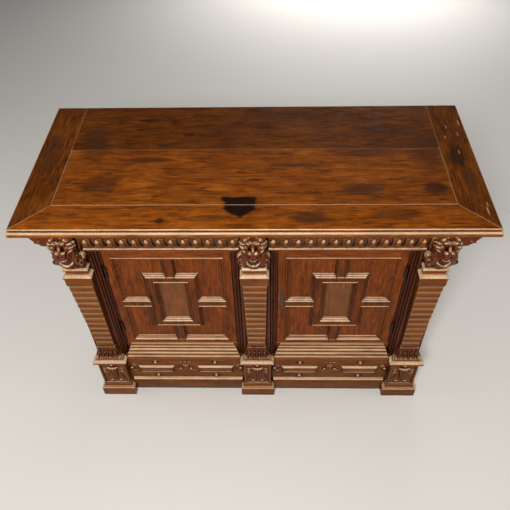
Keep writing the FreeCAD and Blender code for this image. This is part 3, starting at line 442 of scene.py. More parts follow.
def repeated(shape, name, unit, material, start, end, count, last=(1, 1, 1), turn=(0, 0, 0), last_turn=None):
    """Adds copies of a small mesh, set out along a line by Geometry Nodes, to the piece in hand."""
    pattern = bpy.data.meshes.new(name + "_unit")
    bmesh.ops.recalc_face_normals(unit, faces=unit.faces)
    unit.to_mesh(pattern)
    unit.free()
    pattern_object = bpy.data.objects.new(name + "_unit", pattern)
    tree = bpy.data.node_groups.new(name + "_row", "GeometryNodeTree")
    face = tree.interface
    face.new_socket("Geometry", in_out="OUTPUT", socket_type="NodeSocketGeometry")
    kinds = (("Pattern", "Object", pattern_object), ("Start", "Vector", start), ("End", "Vector", end),
             ("Count", "Int", count), ("First Size", "Vector", (1, 1, 1)), ("Last Size", "Vector", last),
             ("First Turn", "Vector", turn), ("Last Turn", "Vector", last_turn or turn),
             ("Finish", "Material", material))
    sockets = [face.new_socket(label, in_out="INPUT", socket_type="NodeSocket" + kind)
               for label, kind, _ in kinds]
    given = tree.nodes.new("NodeGroupInput").outputs
    line = joined(tree, "GeometryNodeMeshLine", {"Count": given["Count"], "Start Location": given["Start"],
                                                 "Offset": given["End"]}, mode="END_POINTS")
    order = joined(tree, "GeometryNodeInputIndex", {}).outputs[0]
    share = maths(tree, "DIVIDE", order, maths(tree, "SUBTRACT", given["Count"], 1.0))

    def between(low, high):
        inputs = {0: share, 4: given[low], 5: given[high]}
        return joined(tree, "ShaderNodeMix", inputs, data_type="VECTOR").outputs[1]

    source = joined(tree, "GeometryNodeObjectInfo", {"Object": given["Pattern"]})
    copies = joined(tree, "GeometryNodeInstanceOnPoints", {
        "Points": line.outputs[0], "Instance": source.outputs["Geometry"],
        "Rotation": between("First Turn", "Last Turn"), "Scale": between("First Size", "Last Size")})
    real = joined(tree, "GeometryNodeRealizeInstances", {"Geometry": copies.outputs[0]}).outputs[0]
    finished = joined(tree, "GeometryNodeSetMaterial", {"Geometry": real, "Material": given["Finish"]})
    tree.links.new(finished.outputs[0], tree.nodes.new("NodeGroupOutput").inputs[0])
    carrier = bpy.data.objects.new(name + "_carrier", bpy.data.meshes.new(name + "_carrier"))
    bpy.context.scene.collection.objects.link(carrier)
    rows = carrier.modifiers.new("row", "NODES")
    rows.node_group = tree
    for socket, (_, _, value) in zip(sockets, kinds):
        rows[socket.identifier] = value
    made = bpy.data.meshes.new_from_object(carrier.evaluated_get(bpy.context.evaluated_depsgraph_get()))
    carrier.modifiers.remove(rows)
    bpy.data.objects.remove(carrier)
    bpy.data.objects.remove(pattern_object)
    shape.from_mesh(made)
    bpy.data.meshes.remove(made)


RAIL_FACE = 0.108
BAND_LOW, BAND_HIGH = 0.945, 1.026
LOBE_PITCH, LOBE_WIDTH, LOBE_ROOT = 0.04, 0.0235, 0.0965
BAY_NEAR, BAY_FAR = 0.05, 0.57
BAND_GROUND = [(RAIL_FACE, BAND_LOW), (0.0975, 0.9455), (LOBE_ROOT, 0.953), (0.092, 0.962), (0.085, 0.975),
               (0.0775, 0.991), (0.0725, 1.007), (0.069, 1.0215), (0.0665, 1.0225), (0.0665, BAND_HIGH),
               (RAIL_FACE, BAND_HIGH)]
LOBE_LINE = [(0.0965, 0.949, 0.3), (0.089, 0.954, 0.62), (0.0795, 0.963, 0.86), (0.071, 0.974, 0.98),
             (0.0655, 0.985, 1.0), (0.0638, 0.995, 0.92), (0.066, 1.003, 0.72), (0.072, 1.0085, 0.3)]
DART_LINE = [(0.0, 0.0945, 0.95, 0.0028), (0.3, 0.082, 0.966, 0.0032), (0.6, 0.0705, 0.985, 0.004),
             (0.85, 0.064, 1.002, 0.0058), (1.0, 0.0615, 1.014, 0.008), (1.0, 0.063, 1.0215, 0.0072)]
BEAD_PROFILE = [(RAIL_FACE, 0.932), (0.102, 0.932), (0.1012, 0.9335)]
BEAD_PROFILE += half_round(0.0975, 0.9388, 0.006, 0.0055, 10, 180, 20)
BEAD_PROFILE += [(0.0968, BAND_LOW), (RAIL_FACE, BAND_LOW)]
COVE_PROFILE = [(RAIL_FACE, BAND_HIGH), (0.064, BAND_HIGH), (0.063, 1.031), (0.0665, 1.036), (0.066, 1.046),
                (0.063, 1.055), (0.058, 1.0625), (0.0565, 1.066), (0.0565, underside), (RAIL_FACE, underside)]
SIDE_PLANE = 0.67
SIDE_START, SIDE_END = -0.208, 0.324
SIDE_LOBES = 13
SIDE_SHIFT = 0.002


def gadroon(way):
    """One lobe and its dart about x = 0, in setback and height; way mirrors its lean."""
    unit = fresh()
    lobe = []
    for s, z, fullness in LOBE_LINE:
        lean = 0.006 * way * math.sin((z - BAND_LOW) / (BAND_HIGH - BAND_LOW) * math.pi)
        width = LOBE_WIDTH / 2 * fullness
        lobe.append([
            (lean + width * math.cos(turn),
             s - LOBE_ROOT - 0.0035 * fullness * math.sin(turn) + 0.004 * (1 - math.sin(turn)),
             z - BAND_LOW + 0.002 * math.sin(turn)) for turn in (math.pi * step / 8 for step in range(9))])
    run(unit, lobe, ONE_BLOCK)
    dart = []
    for share, s, z, reach in DART_LINE:
        x = LOBE_PITCH / 2 + 0.008 * way * (0.5 - share)
        dart.append([(x + reach * across, s - LOBE_ROOT + deep, z - BAND_LOW) for across, deep in (
            (-1, 0.0035), (-0.45, 0.0006), (0, 0), (0.45, 0.0006), (1, 0.0035), (0, 0.01))])
    run(unit, dart, ONE_BLOCK)
    return unit


def side_run(shape, profile, side):
    outer = [(side * (SIDE_PLANE + RAIL_FACE - s), z) for s, z in profile]
    run(shape, [[(x, y, z) for x, z in outer] for y in (SIDE_START, SIDE_END)])


shape = fresh()
for side in (-1, 1):
    start, end = span(side, BAY_NEAR, BAY_FAR)
    length_of(shape, BAND_GROUND, start, end)
    count = round((end - start) / LOBE_PITCH)
    inset = ((end - start) - (count - 1) * LOBE_PITCH) / 2
    repeated(shape, "gadroons", gadroon(-side), carved_level, at(start + inset, LOBE_ROOT, BAND_LOW),
             at(end - inset, LOBE_ROOT, BAND_LOW), count)
for side in (-1, 1):
    side_run(shape, BAND_GROUND, side)
    margin = (SIDE_END - SIDE_START) / SIDE_LOBES / 2
    base = side * (SIDE_PLANE + RAIL_FACE - LOBE_ROOT)
    repeated(shape, "side_gadroons", gadroon(1.0), carved_deep,
             (base, SIDE_START + margin - SIDE_SHIFT, BAND_LOW), (base, SIDE_END - margin - SIDE_SHIFT, BAND_LOW),
             SIDE_LOBES, turn=(0, 0, side * math.pi / 2))
piece("gadroon_carving", shape, carved_level, nodes=["gadroon_bands"], bevel=0.0004,
      split=50)
shape = fresh()
for side in (-1, 1):
    length_of(shape, BEAD_PROFILE, *span(side, BAY_NEAR, BAY_FAR))
    length_of(shape, COVE_PROFILE, *span(side, BAY_NEAR, BAY_FAR))
for side in (-1, 1):
    side_run(shape, COVE_PROFILE, side)
piece("frieze_bead_and_cove", shape, carved_level, nodes=["frieze_mouldings"],
      bevel=0.0004)
dressed(("frieze_rails",), fascia_oak)

# Pedestals: under each pilaster a foot, a moulded base, a carved block with a fluted keystone between two
# rosettes, and a slab with a sloping edge. Each is built up of oak blocks glued to the post.
PILASTERS = (("left", -0.62), ("centre", 0.0), ("right", 0.62))
POST_FACE = 0.122
FOOT = [(0.0725, 0.082, 0), (0.0725, 0.082, 0.052), (0.069, 0.0855, 0.056)]
BASE_STEP = [(0.068, 0.086, 0.052), (0.068, 0.086, 0.06), (0.065, 0.088, 0.0625), (0.0625, 0.0895, 0.066),
             (0.061, 0.09, 0.069), (0.06, 0.0905, 0.074), (0.058, 0.0915, 0.0765), (0.0568, 0.092, 0.08)]
BLOCK_HALF, BLOCK_LOW, BLOCK_HIGH = 0.0565, 0.08, 0.244
PANEL_HALF, PANEL_LOW, PANEL_HIGH = 0.049, 0.09, 0.234
SLAB = [(0.064, 0.086, BLOCK_HIGH), (0.07, 0.08, 0.2475), (0.07, 0.08, 0.256), (0.069, 0.081, 0.2568),
        (0.066, 0.084, 0.258), (0.063, 0.087, 0.2605), (0.06, 0.09, 0.264), (0.0575, 0.0925, 0.2675),
        (0.0565, 0.0935, 0.27), (0.056, 0.094, 0.275)]
SCROLL = ((-0.0225, 0.0925, 0.2085), (-0.0125, 0.088, 0.207), (0, 0.0865, 0.2065), (0.0125, 0.088, 0.207),
          (0.0225, 0.0925, 0.2085))
TENDRIL = ((0.024, 0.168), (0.026, 0.146), (0.033, 0.124), (0.043, 0.11))
ROSETTE_X, ROSETTE_Z = 0.0375, 0.183
STRAP_PLANE = 0.0962


def stack(shape, centre, rows, number=None, back=POST_FACE):
    """Mouldings that turn round three faces of a pilaster: rows are (half width, setback, z)."""
    run(shape, [[at(centre - w, s, z), at(centre + w, s, z), at(centre + w, back, z), at(centre - w, back, z)]
                for w, s, z in rows], number)


def lump(shape, centre, radii, turn=(0, 0, 0), rings=8, spokes=12):
    matrix = Matrix.Translation(centre) @ Euler(turn).to_matrix().to_4x4() @ Matrix.Diagonal((*radii, 1))
    made = bmesh.ops.create_uvsphere(shape, u_segments=spokes, v_segments=rings, radius=1, matrix=matrix)
    numbered(shape, made["verts"], ONE_BLOCK)


def tube(shape, points, radii, spokes=8):
    """A round bar through points, with a radius at each."""
    sections = []
    points = [Vector(point) for point in points]
    side = None
    for index, point in enumerate(points):
        way = (points[min(index + 1, len(points) - 1)] - points[max(index - 1, 0)]).normalized()
        if side is None:
            side = way.orthogonal().normalized()
        side = (side - way * side.dot(way)).normalized()
        other = way.cross(side)
        sections.append([point + (side * math.cos(turn) + other * math.sin(turn)) * radii[index]
                         for turn in (2 * math.pi * step / spokes for step in range(spokes))])
    run(shape, sections, ONE_BLOCK)


def ring_about(shape, centre, setback, radius, thickness, start=0, end=360):
    """A raised strap bent to an arc on a front face; centre is (x, z), angles in degrees."""
    turns = [math.radians(start + (end - start) * step / 16) for step in range(17)]
    tube(shape, [at(centre[0] + radius * math.cos(turn), setback, centre[1] + radius * math.sin(turn))
                 for turn in turns], [thickness] * len(turns), 6)


for name, centre in PILASTERS:
    shape = fresh()
    stack(shape, centre, FOOT)
    stack(shape, centre, BASE_STEP)
    stack(shape, centre, [(BLOCK_HALF, 0.098, BLOCK_LOW), (BLOCK_HALF, 0.098, BLOCK_HIGH)])
    for x0, z0, x1, z1 in ((-BLOCK_HALF, BLOCK_LOW, -PANEL_HALF, BLOCK_HIGH),
                           (PANEL_HALF, BLOCK_LOW, BLOCK_HALF, BLOCK_HIGH),
                           (-PANEL_HALF, BLOCK_LOW, PANEL_HALF, PANEL_LOW),
                           (-PANEL_HALF, PANEL_HIGH, PANEL_HALF, BLOCK_HIGH)):
        block(shape, at(centre + x0, 0.092, z0), at(centre + x1, 0.099, z1))
    for x, width in ((-0.011, 0.005), (0.0, 0.0058), (0.011, 0.005)):
        tube(shape, [at(centre + x * 0.62, 0.0925, 0.112), at(centre + x * 0.8, 0.0905, 0.158),
                     at(centre + x, 0.0885, 0.2)], (width * 0.6, width * 0.85, width))
    tube(shape, [at(centre + x, s, z) for x, s, z in SCROLL], (0.0035, 0.0055, 0.006, 0.0055, 0.0035))
    lump(shape, at(centre, 0.0925, 0.2265), (0.0075, 0.006, 0.006), rings=6, spokes=10)
    for side in (-1, 1):
        x = centre + side * ROSETTE_X
        lump(shape, at(x, 0.095, ROSETTE_Z), (0.0085 * 0.55, 0.0085 * 0.5, 0.0085 * 0.55))
        ring_about(shape, (x, ROSETTE_Z), 0.0955, 0.0085 * 0.85, 0.0085 * 0.2)
        ring_about(shape, (x, ROSETTE_Z), STRAP_PLANE, 0.015, 0.0024, 90 - side * 30, 90 + side * 210)
        tube(shape, [at(centre + side * x, STRAP_PLANE, z) for x, z in TENDRIL],
             (0.0026, 0.0036, 0.003, 0.0018), 6)
        lump(shape, at(centre + side * 0.019, 0.096, 0.104), (0.0085, 0.005, 0.006), rings=6, spokes=10)
    stack(shape, centre, SLAB)
    piece("pedestal_carved_" + name, shape, carved_level, nodes=["pedestal_" + name],
          bevel=0.0007)

# Leaf socles: at the foot of each shaft stand narrow leaves with raised ribs, a bead at each leaf's root, and
# a plain band above. They are carved from the same block as the shaft.
carved_oak = oak("carved_oak", (0.135, 0.026, 0.0025), "Z", 0.22, 0.9, 0.5, 0.012, slope_highlight=0.9, edge_rub_and_highlight=0.25,
                 side_shade=0.5, worked=0.85)
SOCLE = [(0.051, 0.09, 0.275), (0.051, 0.09, 0.28), (0.0495, 0.0915, 0.2815), (0.0465, 0.0945, 0.284),
         (0.0425, 0.0985, 0.29), (0.0395, 0.1015, 0.302), (0.037, 0.104, 0.32), (0.036, 0.1045, 0.332),
         (0.0375, 0.1025, 0.3345), (0.0395, 0.1005, 0.336), (0.0395, 0.1005, 0.342), (0.0375, 0.1025, 0.3455),
         (0.0375, 0.1025, 0.347)]
LEAF_ROOT, LEAF_LEAN = 0.286, math.radians(9)


def leaf_rib():
    unit = fresh()
    tube(unit, [(0, 0.0055, 0.048), (0, 0.0045, 0.036), (0, 0.0015, 0.022), (0, -0.003, 0.01),
                (0, -0.0065, 0.001)], (0.0022, 0.0021, 0.0023, 0.0028, 0.0036))
    return unit


for name, centre in PILASTERS:
    shape = fresh()
    stack(shape, centre, SOCLE)
    repeated(shape, "leaf_ribs", leaf_rib(), carved_oak, at(centre - 0.04, 0.096, LEAF_ROOT),
             at(centre + 0.04, 0.096, LEAF_ROOT), 5, turn=(0, LEAF_LEAN, 0), last_turn=(0, -LEAF_LEAN, 0))
    for side in (-1, 1):
        x = centre + side * 0.0445
        repeated(shape, "side_leaf_ribs", leaf_rib(), carved_oak, at(x, 0.106, LEAF_ROOT),
                 at(x, 0.118, LEAF_ROOT), 2, turn=(0, 0, side * math.pi / 2))
    unit = fresh()
    lump(unit, (0, 0, 0), (0.0048, 0.004, 0.0042), rings=6, spokes=8)
    lump(unit, (0, 0.0035, 0.018), (0.004, 0.0024, 0.015), turn=(math.radians(-14), 0, 0), rings=6, spokes=8)
    repeated(shape, "leaf_beads", unit, carved_oak, at(centre - 0.031, 0.094, 0.2855),
             at(centre + 0.031, 0.094, 0.2855), 4)
    piece("leaf_socle_carved_" + name, shape, carved_oak, nodes=["leaf_socle_" + name],
          bevel=0.0004, split=50)

# Shafts: each one is a block of oak that widens upwards and leans forward to its head. Its face is cut across
# into twelve cushioned ribs, between thin grooves.
SHAFT_LOW, SHAFT_HIGH = 0.347, 0.76
SHAFT_FOOT, SHAFT_HEAD = (0.035, 0.106), (0.044, 0.082)
SHAFT_BOARD = 2.0
RIB_COUNT = 12
RIB_RELIEF = 0.0042
pitch = (SHAFT_HIGH - SHAFT_LOW) / RIB_COUNT
RIB_SECTIONS = ((0.003, RIB_RELIEF, 0.0), (0.0028, 0.0036, 0.0022), (0.0012, 0.0012, 0.004),
                (0.0002, 0.0, 0.0075), (0.0, -0.0004, pitch * 0.5), (0.0002, 0.0, pitch - 0.006),
                (0.0012, 0.0012, pitch - 0.0025),
                (0.0028, 0.0036, pitch - 0.001), (0.003, RIB_RELIEF, pitch))
for name, centre in PILASTERS:
    shape = fresh()
    stack(shape, centre, [(half_width, s + RIB_RELIEF, z) for (half_width, s), z in (
        (SHAFT_FOOT, SHAFT_LOW), (SHAFT_HEAD, SHAFT_HIGH))], SHAFT_BOARD)
    unit = fresh()
    foot = SHAFT_FOOT[0]
    run(unit, [[(-foot + edge, rise, z), (foot - edge, rise, z), (foot - edge * 0.3, 0.006, z),
                (-foot + edge * 0.3, 0.006, z)] for edge, rise, z in RIB_SECTIONS], SHAFT_BOARD)
    last_half = SHAFT_HEAD[0] - (SHAFT_HEAD[0] - foot) / RIB_COUNT
    last_face = SHAFT_HEAD[1] + (SHAFT_FOOT[1] - SHAFT_HEAD[1]) / RIB_COUNT
    repeated(shape, "shaft_ribs", unit, carved_oak, at(centre, SHAFT_FOOT[1], SHAFT_LOW),
             at(centre, last_face, SHAFT_HIGH - pitch), RIB_COUNT, last=(last_half / foot, 1, 1))
    piece("shaft_ribbed_" + name, shape, carved_level, nodes=["shaft_" + name],
          bevel=0.0003)

# Capitals: a plain neck block, a broad worn ogee that catches the light and carries a painted highlight, a deep
# quirk and a thin abacus. They are oak mouldings, mitred round three faces of the pilaster.
NECK = [(0.044, 0.086, 0.76), (0.047, 0.083, 0.762), (0.0482, 0.0822, 0.768), (0.0485, 0.082, 0.796),
        (0.0475, 0.083, 0.802)]
OGEE = [(0.048, 0.082, 0.802), (0.0512, 0.0783, 0.8035), (0.0515, 0.078, 0.8065), (0.051, 0.0785, 0.8085),
        (0.0485, 0.081, 0.8103), (0.045, 0.0845, 0.8132), (0.042, 0.0875, 0.8165), (0.04, 0.0895, 0.8195),
        (0.0392, 0.0903, 0.8215), (0.0385, 0.091, 0.8225), (0.0385, 0.091, 0.832)]
ABACUS = [(0.0385, 0.091, 0.832), (0.0385, 0.091, 0.8375), (0.044, 0.086, 0.8385), (0.045, 0.085, 0.84),
          (0.045, 0.085, 0.8425), (0.0385, 0.093, 0.85)]
for name, centre in PILASTERS:
    shape = fresh()
    for rows in (NECK, OGEE, ABACUS):
        stack(shape, centre, rows)
    piece("capital_moulded_" + name, shape, carved_level, nodes=["capital_" + name],
          bevel=0.0005)

# Consoles: a lion's head with a full mane looks down from the top of each scrolled bracket. Its open mouth is
# painted a dull red, a curled lip hangs below the chin, and a volute stands on each side of the foot.
MASK_VOXEL = 0.0014
MASK_SETBACK, MASK_FOOT = 0.0225, 0.908
MOUTH_BACK, MOUTH_RISE = 0.024, 0.056
MANE = ((0.0345, 0.05, 0.036, 15), (0.031, 0.04, 0.025, 13))
EAR = ((0.0345, 0.034, 0.1265), (0.0075, 0.0065, 0.0075))
BROW = ((0.0135, 0.0205, 0.112), (0.011, 0.0085, 0.007))
EYE = ((0.0155, 0.0215, 0.101), (0.006, 0.005, 0.005))
CHEEK = ((0.02, 0.025, 0.089), (0.011, 0.011, 0.014))
MUZZLE = ((0.0088, 0.0095, 0.077), (0.0098, 0.01, 0.0088))
LIP = ((0.019, 0.02, 0.072), (0.0185, 0.0175, 0.059), (0.015, 0.015, 0.046), (0.007, 0.0135, 0.0385),
       (0.0, 0.013, 0.037))
JAW = ((0.018, 0.03, 0.05), (0.01, 0.013, 0.02))
CHIN = ((0.009, 0.03, 0.036), (0.008, 0.012, 0.017))


def weathered(name, colour, second, roughness, metallic):
    """Iron, steel or paint: a colour clouded with a second one, uneven polish and a slightly pitted face."""
    material, tree, shader, coordinates = new_material(name)
    cloud = noise(tree, coordinates["Object"], 90.0, 5.0, 0.65)
    spots = noise(tree, coordinates["Object"], 630.0, 3.0, 0.6)
    tone = ramp(tree, cloud, [(0.38, colour), (0.64, second)])
    dark = ramp(tree, spots, [(0.36, WHITE), (0.5, BLACK)])
    tree.links.new(mixed(tree, dark, tone, scaled(colour, 0.45)), shader["Base Color"])
    tree.links.new(levels(tree, cloud, 0.3, 0.7, roughness - 0.1, roughness + 0.14), shader["Roughness"])
    shader["Metallic"].default_value = metallic
    bump = joined(tree, "ShaderNodeBump", {"Strength": 0.25, "Distance": 0.0006, "Height": spots})
    tree.links.new(bump.outputs[0], shader["Normal"])
    return material


def lion_head(shape):
    """Mane, brow, muzzle and jaw: x across, y back from the nose, z up from the lip below the chin."""
    lump(shape, (0, 0.052, 0.096), (0.036, 0.034, 0.052))
    for radius_x, radius_z, depth, count in MANE:
        for index in range(count):
            turn = math.radians(-52 + 284 * index / (count - 1))
            curl = 0.5 + 0.5 * math.sin(turn)
            lump(shape, (radius_x * math.cos(turn), depth + 0.004 * curl, 0.094 + radius_z * math.sin(turn)),
                 (0.0068, 0.0105, 0.0125 + 0.002 * curl),
                 turn=(math.radians(20 - 30 * math.sin(turn)), turn - math.pi / 2, 0))

    def paired(side, form, nod=0.0, lean=0.0):
        (x, y, z), radii = form
        lump(shape, (side * x, y, z), radii, turn=(nod, side * lean, 0))

    for side in (-1, 1):
        paired(side, EAR)
        paired(side, BROW, 0.5, -0.25)
        paired(side, EYE)
        paired(side, CHEEK)
        paired(side, MUZZLE)
        tube(shape, [(side * x, y, z) for x, y, z in LIP], (0.005, 0.0046, 0.0042, 0.0042, 0.0042))
        paired(side, JAW, lean=0.35)
        paired(side, CHIN, lean=0.15)
    tube(shape, [(0, 0.024, 0.113), (0, 0.017, 0.1), (0, 0.009, 0.088), (0, 0.0045, 0.0815)],
         (0.0075, 0.0065, 0.0066, 0.0055))
    lump(shape, (0, 0.004, 0.0805), (0.0075, 0.0045, 0.0045))
    lump(shape, (0, 0.036, 0.055), (0.02, 0.017, 0.025))


def remeshed(shape):
    """The lumps fused to one carved surface, as a mesh."""
    source = bpy.data.meshes.new("lumps")
    shape.to_mesh(source)
    shape.free()
    holder = bpy.data.objects.new("lumps", source)
    bpy.context.scene.collection.objects.link(holder)
    fused = holder.modifiers.new("fuse", "REMESH")
    fused.mode = "VOXEL"
    fused.voxel_size = MASK_VOXEL
    soft = holder.modifiers.new("soft", "SMOOTH")
    soft.factor = 0.5
    soft.iterations = 2
    mesh = bpy.data.meshes.new_from_object(holder.evaluated_get(bpy.context.evaluated_depsgraph_get()))
    bpy.data.objects.remove(holder)
    return mesh


def spiral(shape, centre, setback, radius, way, turns=1.75, thickness=0.0034):
    """A carved volute: a strap that winds in to a small eye on a front face."""
    points, radii = [], []
    for step in range(37):
        share = step / 36
        turn = math.radians(90) + way * 2 * math.pi * turns * share
        reach = radius * (1 - share) ** 0.8 + 0.002
        points.append((centre[0] + reach * math.cos(turn), setback - 0.004 * share,
                       centre[1] + reach * math.sin(turn)))
        radii.append(thickness * (1 - 0.45 * share))
    tube(shape, points, radii)
    lump(shape, (centre[0], setback - 0.004, centre[1]), (0.0042, 0.0035, 0.0042))


BRACKET = ((0.092, -0.058), (0.0715, -0.058), (0.068, -0.05), (0.056, -0.034), (0.04, -0.008), (0.03, 0.02),
           (0.026, 0.06), (0.03, 0.12), (0.026, 0.178), (0.092, 0.178))
CURL = ((0.046, 0.046, 0.02), (0.038, 0.036, 0.036), (0.03, 0.03, 0.052))
BEARD = ((-0.024, 0.035, 0.019), (-0.0185, 0.027, 0.009), (-0.0095, 0.0225, 0.0035), (0, 0.021, 0.002),
         (0.0095, 0.0225, 0.0035), (0.0185, 0.027, 0.009), (0.024, 0.035, 0.019))


def bracket(shape, half_width):
    """The bracket behind the head, its lip and its two volutes, about the same origin as the head."""
    run(shape, [[(x, y, z) for y, z in BRACKET] for x in (-half_width, half_width)], ONE_BLOCK)
    for side in (-1, 1):
        spiral(shape, (side * 0.04, 0.004), 0.043, 0.015, side)
        lump(shape, (side * 0.04, 0.066, 0.004), (0.018, 0.024, 0.019))
        lump(shape, (side * 0.036, 0.064, -0.028), (0.008, 0.012, 0.012))
        tube(shape, [(side * x, y, z) for x, y, z in CURL], (0.005, 0.007, 0.006))
    tube(shape, BEARD, (0.003, 0.005, 0.0064, 0.007, 0.0064, 0.005, 0.003))
    lump(shape, (0, 0.052, -0.02), (0.026, 0.016, 0.02))
    for index in range(5):
        x = -0.02 + 0.01 * index
        tube(shape, [(x * 0.8, 0.038, -0.006), (x, 0.046, -0.024), (x * 1.05, 0.062, -0.044)],
             (0.003, 0.0042, 0.0048))
        lump(shape, (x * 1.5, 0.066, -0.05), (0.0046, 0.0046, 0.0046))


mouth_red = weathered("mouth_red", (0.15, 0.006, 0.004), (0.07, 0.004, 0.003), 0.36, 0.0)
shape = fresh()
lion_head(shape)
bracket(shape, 0.037)
mask = remeshed(shape)
for name, centre in PILASTERS:
    shape = fresh()
    shape.from_mesh(mask)
    bmesh.ops.translate(shape, vec=at(centre, MASK_SETBACK, MASK_FOOT), verts=shape.verts)
    block(shape, at(centre - 0.0385, 0.0965, 0.8505), at(centre + 0.0385, POST_FACE, underside), ONE_BLOCK)
    piece("lion_console_carved_" + name, shape, carved_oak, nodes=["lion_console_" + name],
          bevel=0, split=180)
    shape = fresh()
    lump(shape, at(centre, MASK_SETBACK + MOUTH_BACK, MASK_FOOT + MOUTH_RISE), (0.015, 0.0155, 0.016),
         rings=12, spokes=20)
    piece("lion_mouth_" + name, shape, mouth_red, bevel=0, split=180)

# Side heads: a smaller head of the same pattern looks out sideways from each front corner, carved on a block
# that is glued between the console, the post and the top.
HEAD_SHARE = 0.62
HEAD_MIDDLE, HEAD_FOOT, HEAD_REACH = 0.087, 0.9855, 0.7358
BLOCK_OUTLINE = ((0.118, 0.006), (0.08, 0.01), (0.06, 0.03), (0.036, 0.056), (0.032, 0.12), (0.034, 0.161),
                 (0.118, 0.161))
for name, side in (("left", -1), ("right", 1)):
    shape = fresh()
    lion_head(shape)
    run(shape, [[(x, y, z) for y, z in BLOCK_OUTLINE] for x in (-0.042, 0.042)], ONE_BLOCK)
    for way in (-1, 1):
        spiral(shape, (way * 0.033, 0.036), 0.052, 0.013, way, 1.5, 0.0036)
        lump(shape, (way * 0.033, 0.07, 0.036), (0.015, 0.02, 0.015))
    mesh = remeshed(shape)
    shape = fresh()
    shape.from_mesh(mesh)
    bmesh.ops.transform(shape, verts=shape.verts, matrix=Matrix.Translation(
        (side * HEAD_REACH, front + HEAD_MIDDLE, HEAD_FOOT)) @ Matrix.Rotation(side * math.pi / 2, 4, "Z")
        @ Matrix.Scale(HEAD_SHARE, 4))
    piece("side_head_carved_" + name, shape, carved_oak, nodes=["side_console_" + name],
          bevel=0, split=180)
    shape = fresh()
    lump(shape, (side * (HEAD_REACH - MOUTH_BACK * HEAD_SHARE), front + HEAD_MIDDLE,
                 HEAD_FOOT + MOUTH_RISE * HEAD_SHARE), (0.0095, 0.0092, 0.0098), rings=12, spokes=20)
    piece("side_mouth_" + name, shape, mouth_red, bevel=0, split=180)

# Door surrounds: a sill of stepped mouldings, reeded ribs beside the posts and a plain head, nailed and glued
# between the pilasters.
# The ribs and head of the surround, the front posts and the discs behind the drawer bosses take a much darker oak
# than the sill: painted shade.
SHADED_FRAME_COLOUR = (0.075, 0.01, 0.0012)
shaded_frame_oak = oak("shaded_frame_oak", SHADED_FRAME_COLOUR, "Z", 0.24, 1.0, 0.6, edge_rub_and_highlight=0.3, side_shade=0.5)
frame_oak_level = oak("frame_oak_level", (0.19, 0.056, 0.008), "X", 0.24, 1.0, 0.5, slope_highlight=0.9, edge_rub_and_highlight=0.3,
                      side_shade=0.4)
SILL_STEPS = (0.262, 0.279, 0.2955, 0.311, 0.3235)
SILL_FACES = (0.112, 0.1175, 0.1235, 0.1295, 0.135)
SILL = [(SILL_FACES[0], 0.246)]
for level, face, after in zip(SILL_STEPS, SILL_FACES, SILL_FACES[1:] + (0.14,)):
    SILL += [(face + 0.0012, level - 0.0125), (face, level - 0.011), (face, level - 0.0065),
             (face + 0.0012, level - 0.003), (face + 0.0035, level - 0.0005),
             (after - 0.0004, level + 0.0012)]
RIB = [(0.0, 0.124), (0.0035, 0.124), (0.0045, 0.1285), (0.006, 0.129), (0.007, 0.1262), (0.0085, 0.125),
       (0.013, 0.125), (0.0142, 0.13), (0.016, 0.132), (0.0185, 0.1322), (0.0195, 0.13), (0.0215, 0.1292),
       (0.0235, 0.1305), (0.0245, 0.1385), (0.0265, 0.1405), (0.031, 0.142), (0.031, 0.166), (0.0, 0.166)]
RIB_WIDTH = 0.031
SILL_HALF, BAY_MIDDLE, SILL_BOARD = 0.24, 0.31, 1.0
SILL_LOW, SILL_TOP, RIB_LOW, FRIEZE_LOW, HEAD_LOW = 0.246, 0.329, 0.262, 0.918, 0.884
LEAF_FACE, LEAF_BACK, PANEL_FACE = 0.142, 0.166, 0.153
for name, side in (("left", -1), ("right", 1)):
    shape = fresh()
    stack(shape, side * BAY_MIDDLE, [(SILL_HALF - (s - SILL_FACES[0]), s, z) for s, z in SILL]
          + [(SILL_HALF - 0.0285, 0.1405, SILL_TOP)], SILL_BOARD, back=LEAF_BACK)
    start, end = span(side, BAY_NEAR, BAY_FAR)
    block(shape, at(start, 0.1255, SILL_LOW), at(end, LEAF_BACK, RIB_LOW + 0.002))
    block(shape, at(start, 0.141, SILL_LOW), at(end, LEAF_BACK, SILL_TOP - 0.0005))
    piece("door_sill_stepped_" + name, shape, frame_oak_level, nodes=["door_surround_" + name],
          bevel=0.0004)
    shape = fresh()
    for origin, way in ((BAY_NEAR, 1), (BAY_FAR, -1)):
        run(shape, [[at(side * (origin + way * x), s, z) for x, s in RIB] for z in (RIB_LOW, FRIEZE_LOW)])
    start, end = span(side, BAY_NEAR + RIB_WIDTH, BAY_FAR - RIB_WIDTH)
    block(shape, at(start, LEAF_FACE, HEAD_LOW), at(end, LEAF_BACK, FRIEZE_LOW))
    piece("door_ribs_" + name, shape, shaded_frame_oak, bevel=0.0005)

# Doors: a joined frame round one panel. A mitred moulding lines the frame, and a raised star of mouldings is
# laid on the panel: an oblong frame with a sunk middle, and four arms that meet the door's frame.
DOOR_COLOUR = (0.178, 0.038, 0.0015)
STAR_SHADE = 0.76
DOOR_FINISH = {"gloss": 0.22, "contrast": 1.4, "patina": 0.6, "shade_reach": 0.012, "slope_highlight": 0.9, "edge_rub_and_highlight": 0.12,
               "side_shade": 0.72}
door_upright = oak("door_oak_upright", DOOR_COLOUR, "Z", **DOOR_FINISH)
door_level = oak("door_oak_level", DOOR_COLOUR, "X", **DOOR_FINISH)
star_oak = oak("door_star_oak", scaled(DOOR_COLOUR, STAR_SHADE), "Z", **DOOR_FINISH)
LEAF_NEAR, LEAF_FAR, LEAF_LOW, LEAF_HIGH = 0.0835, 0.5365, 0.331, 0.882
FIELD_NEAR, FIELD_FAR, FIELD_LOW, FIELD_HIGH = 0.1145, 0.5055, 0.349, 0.842
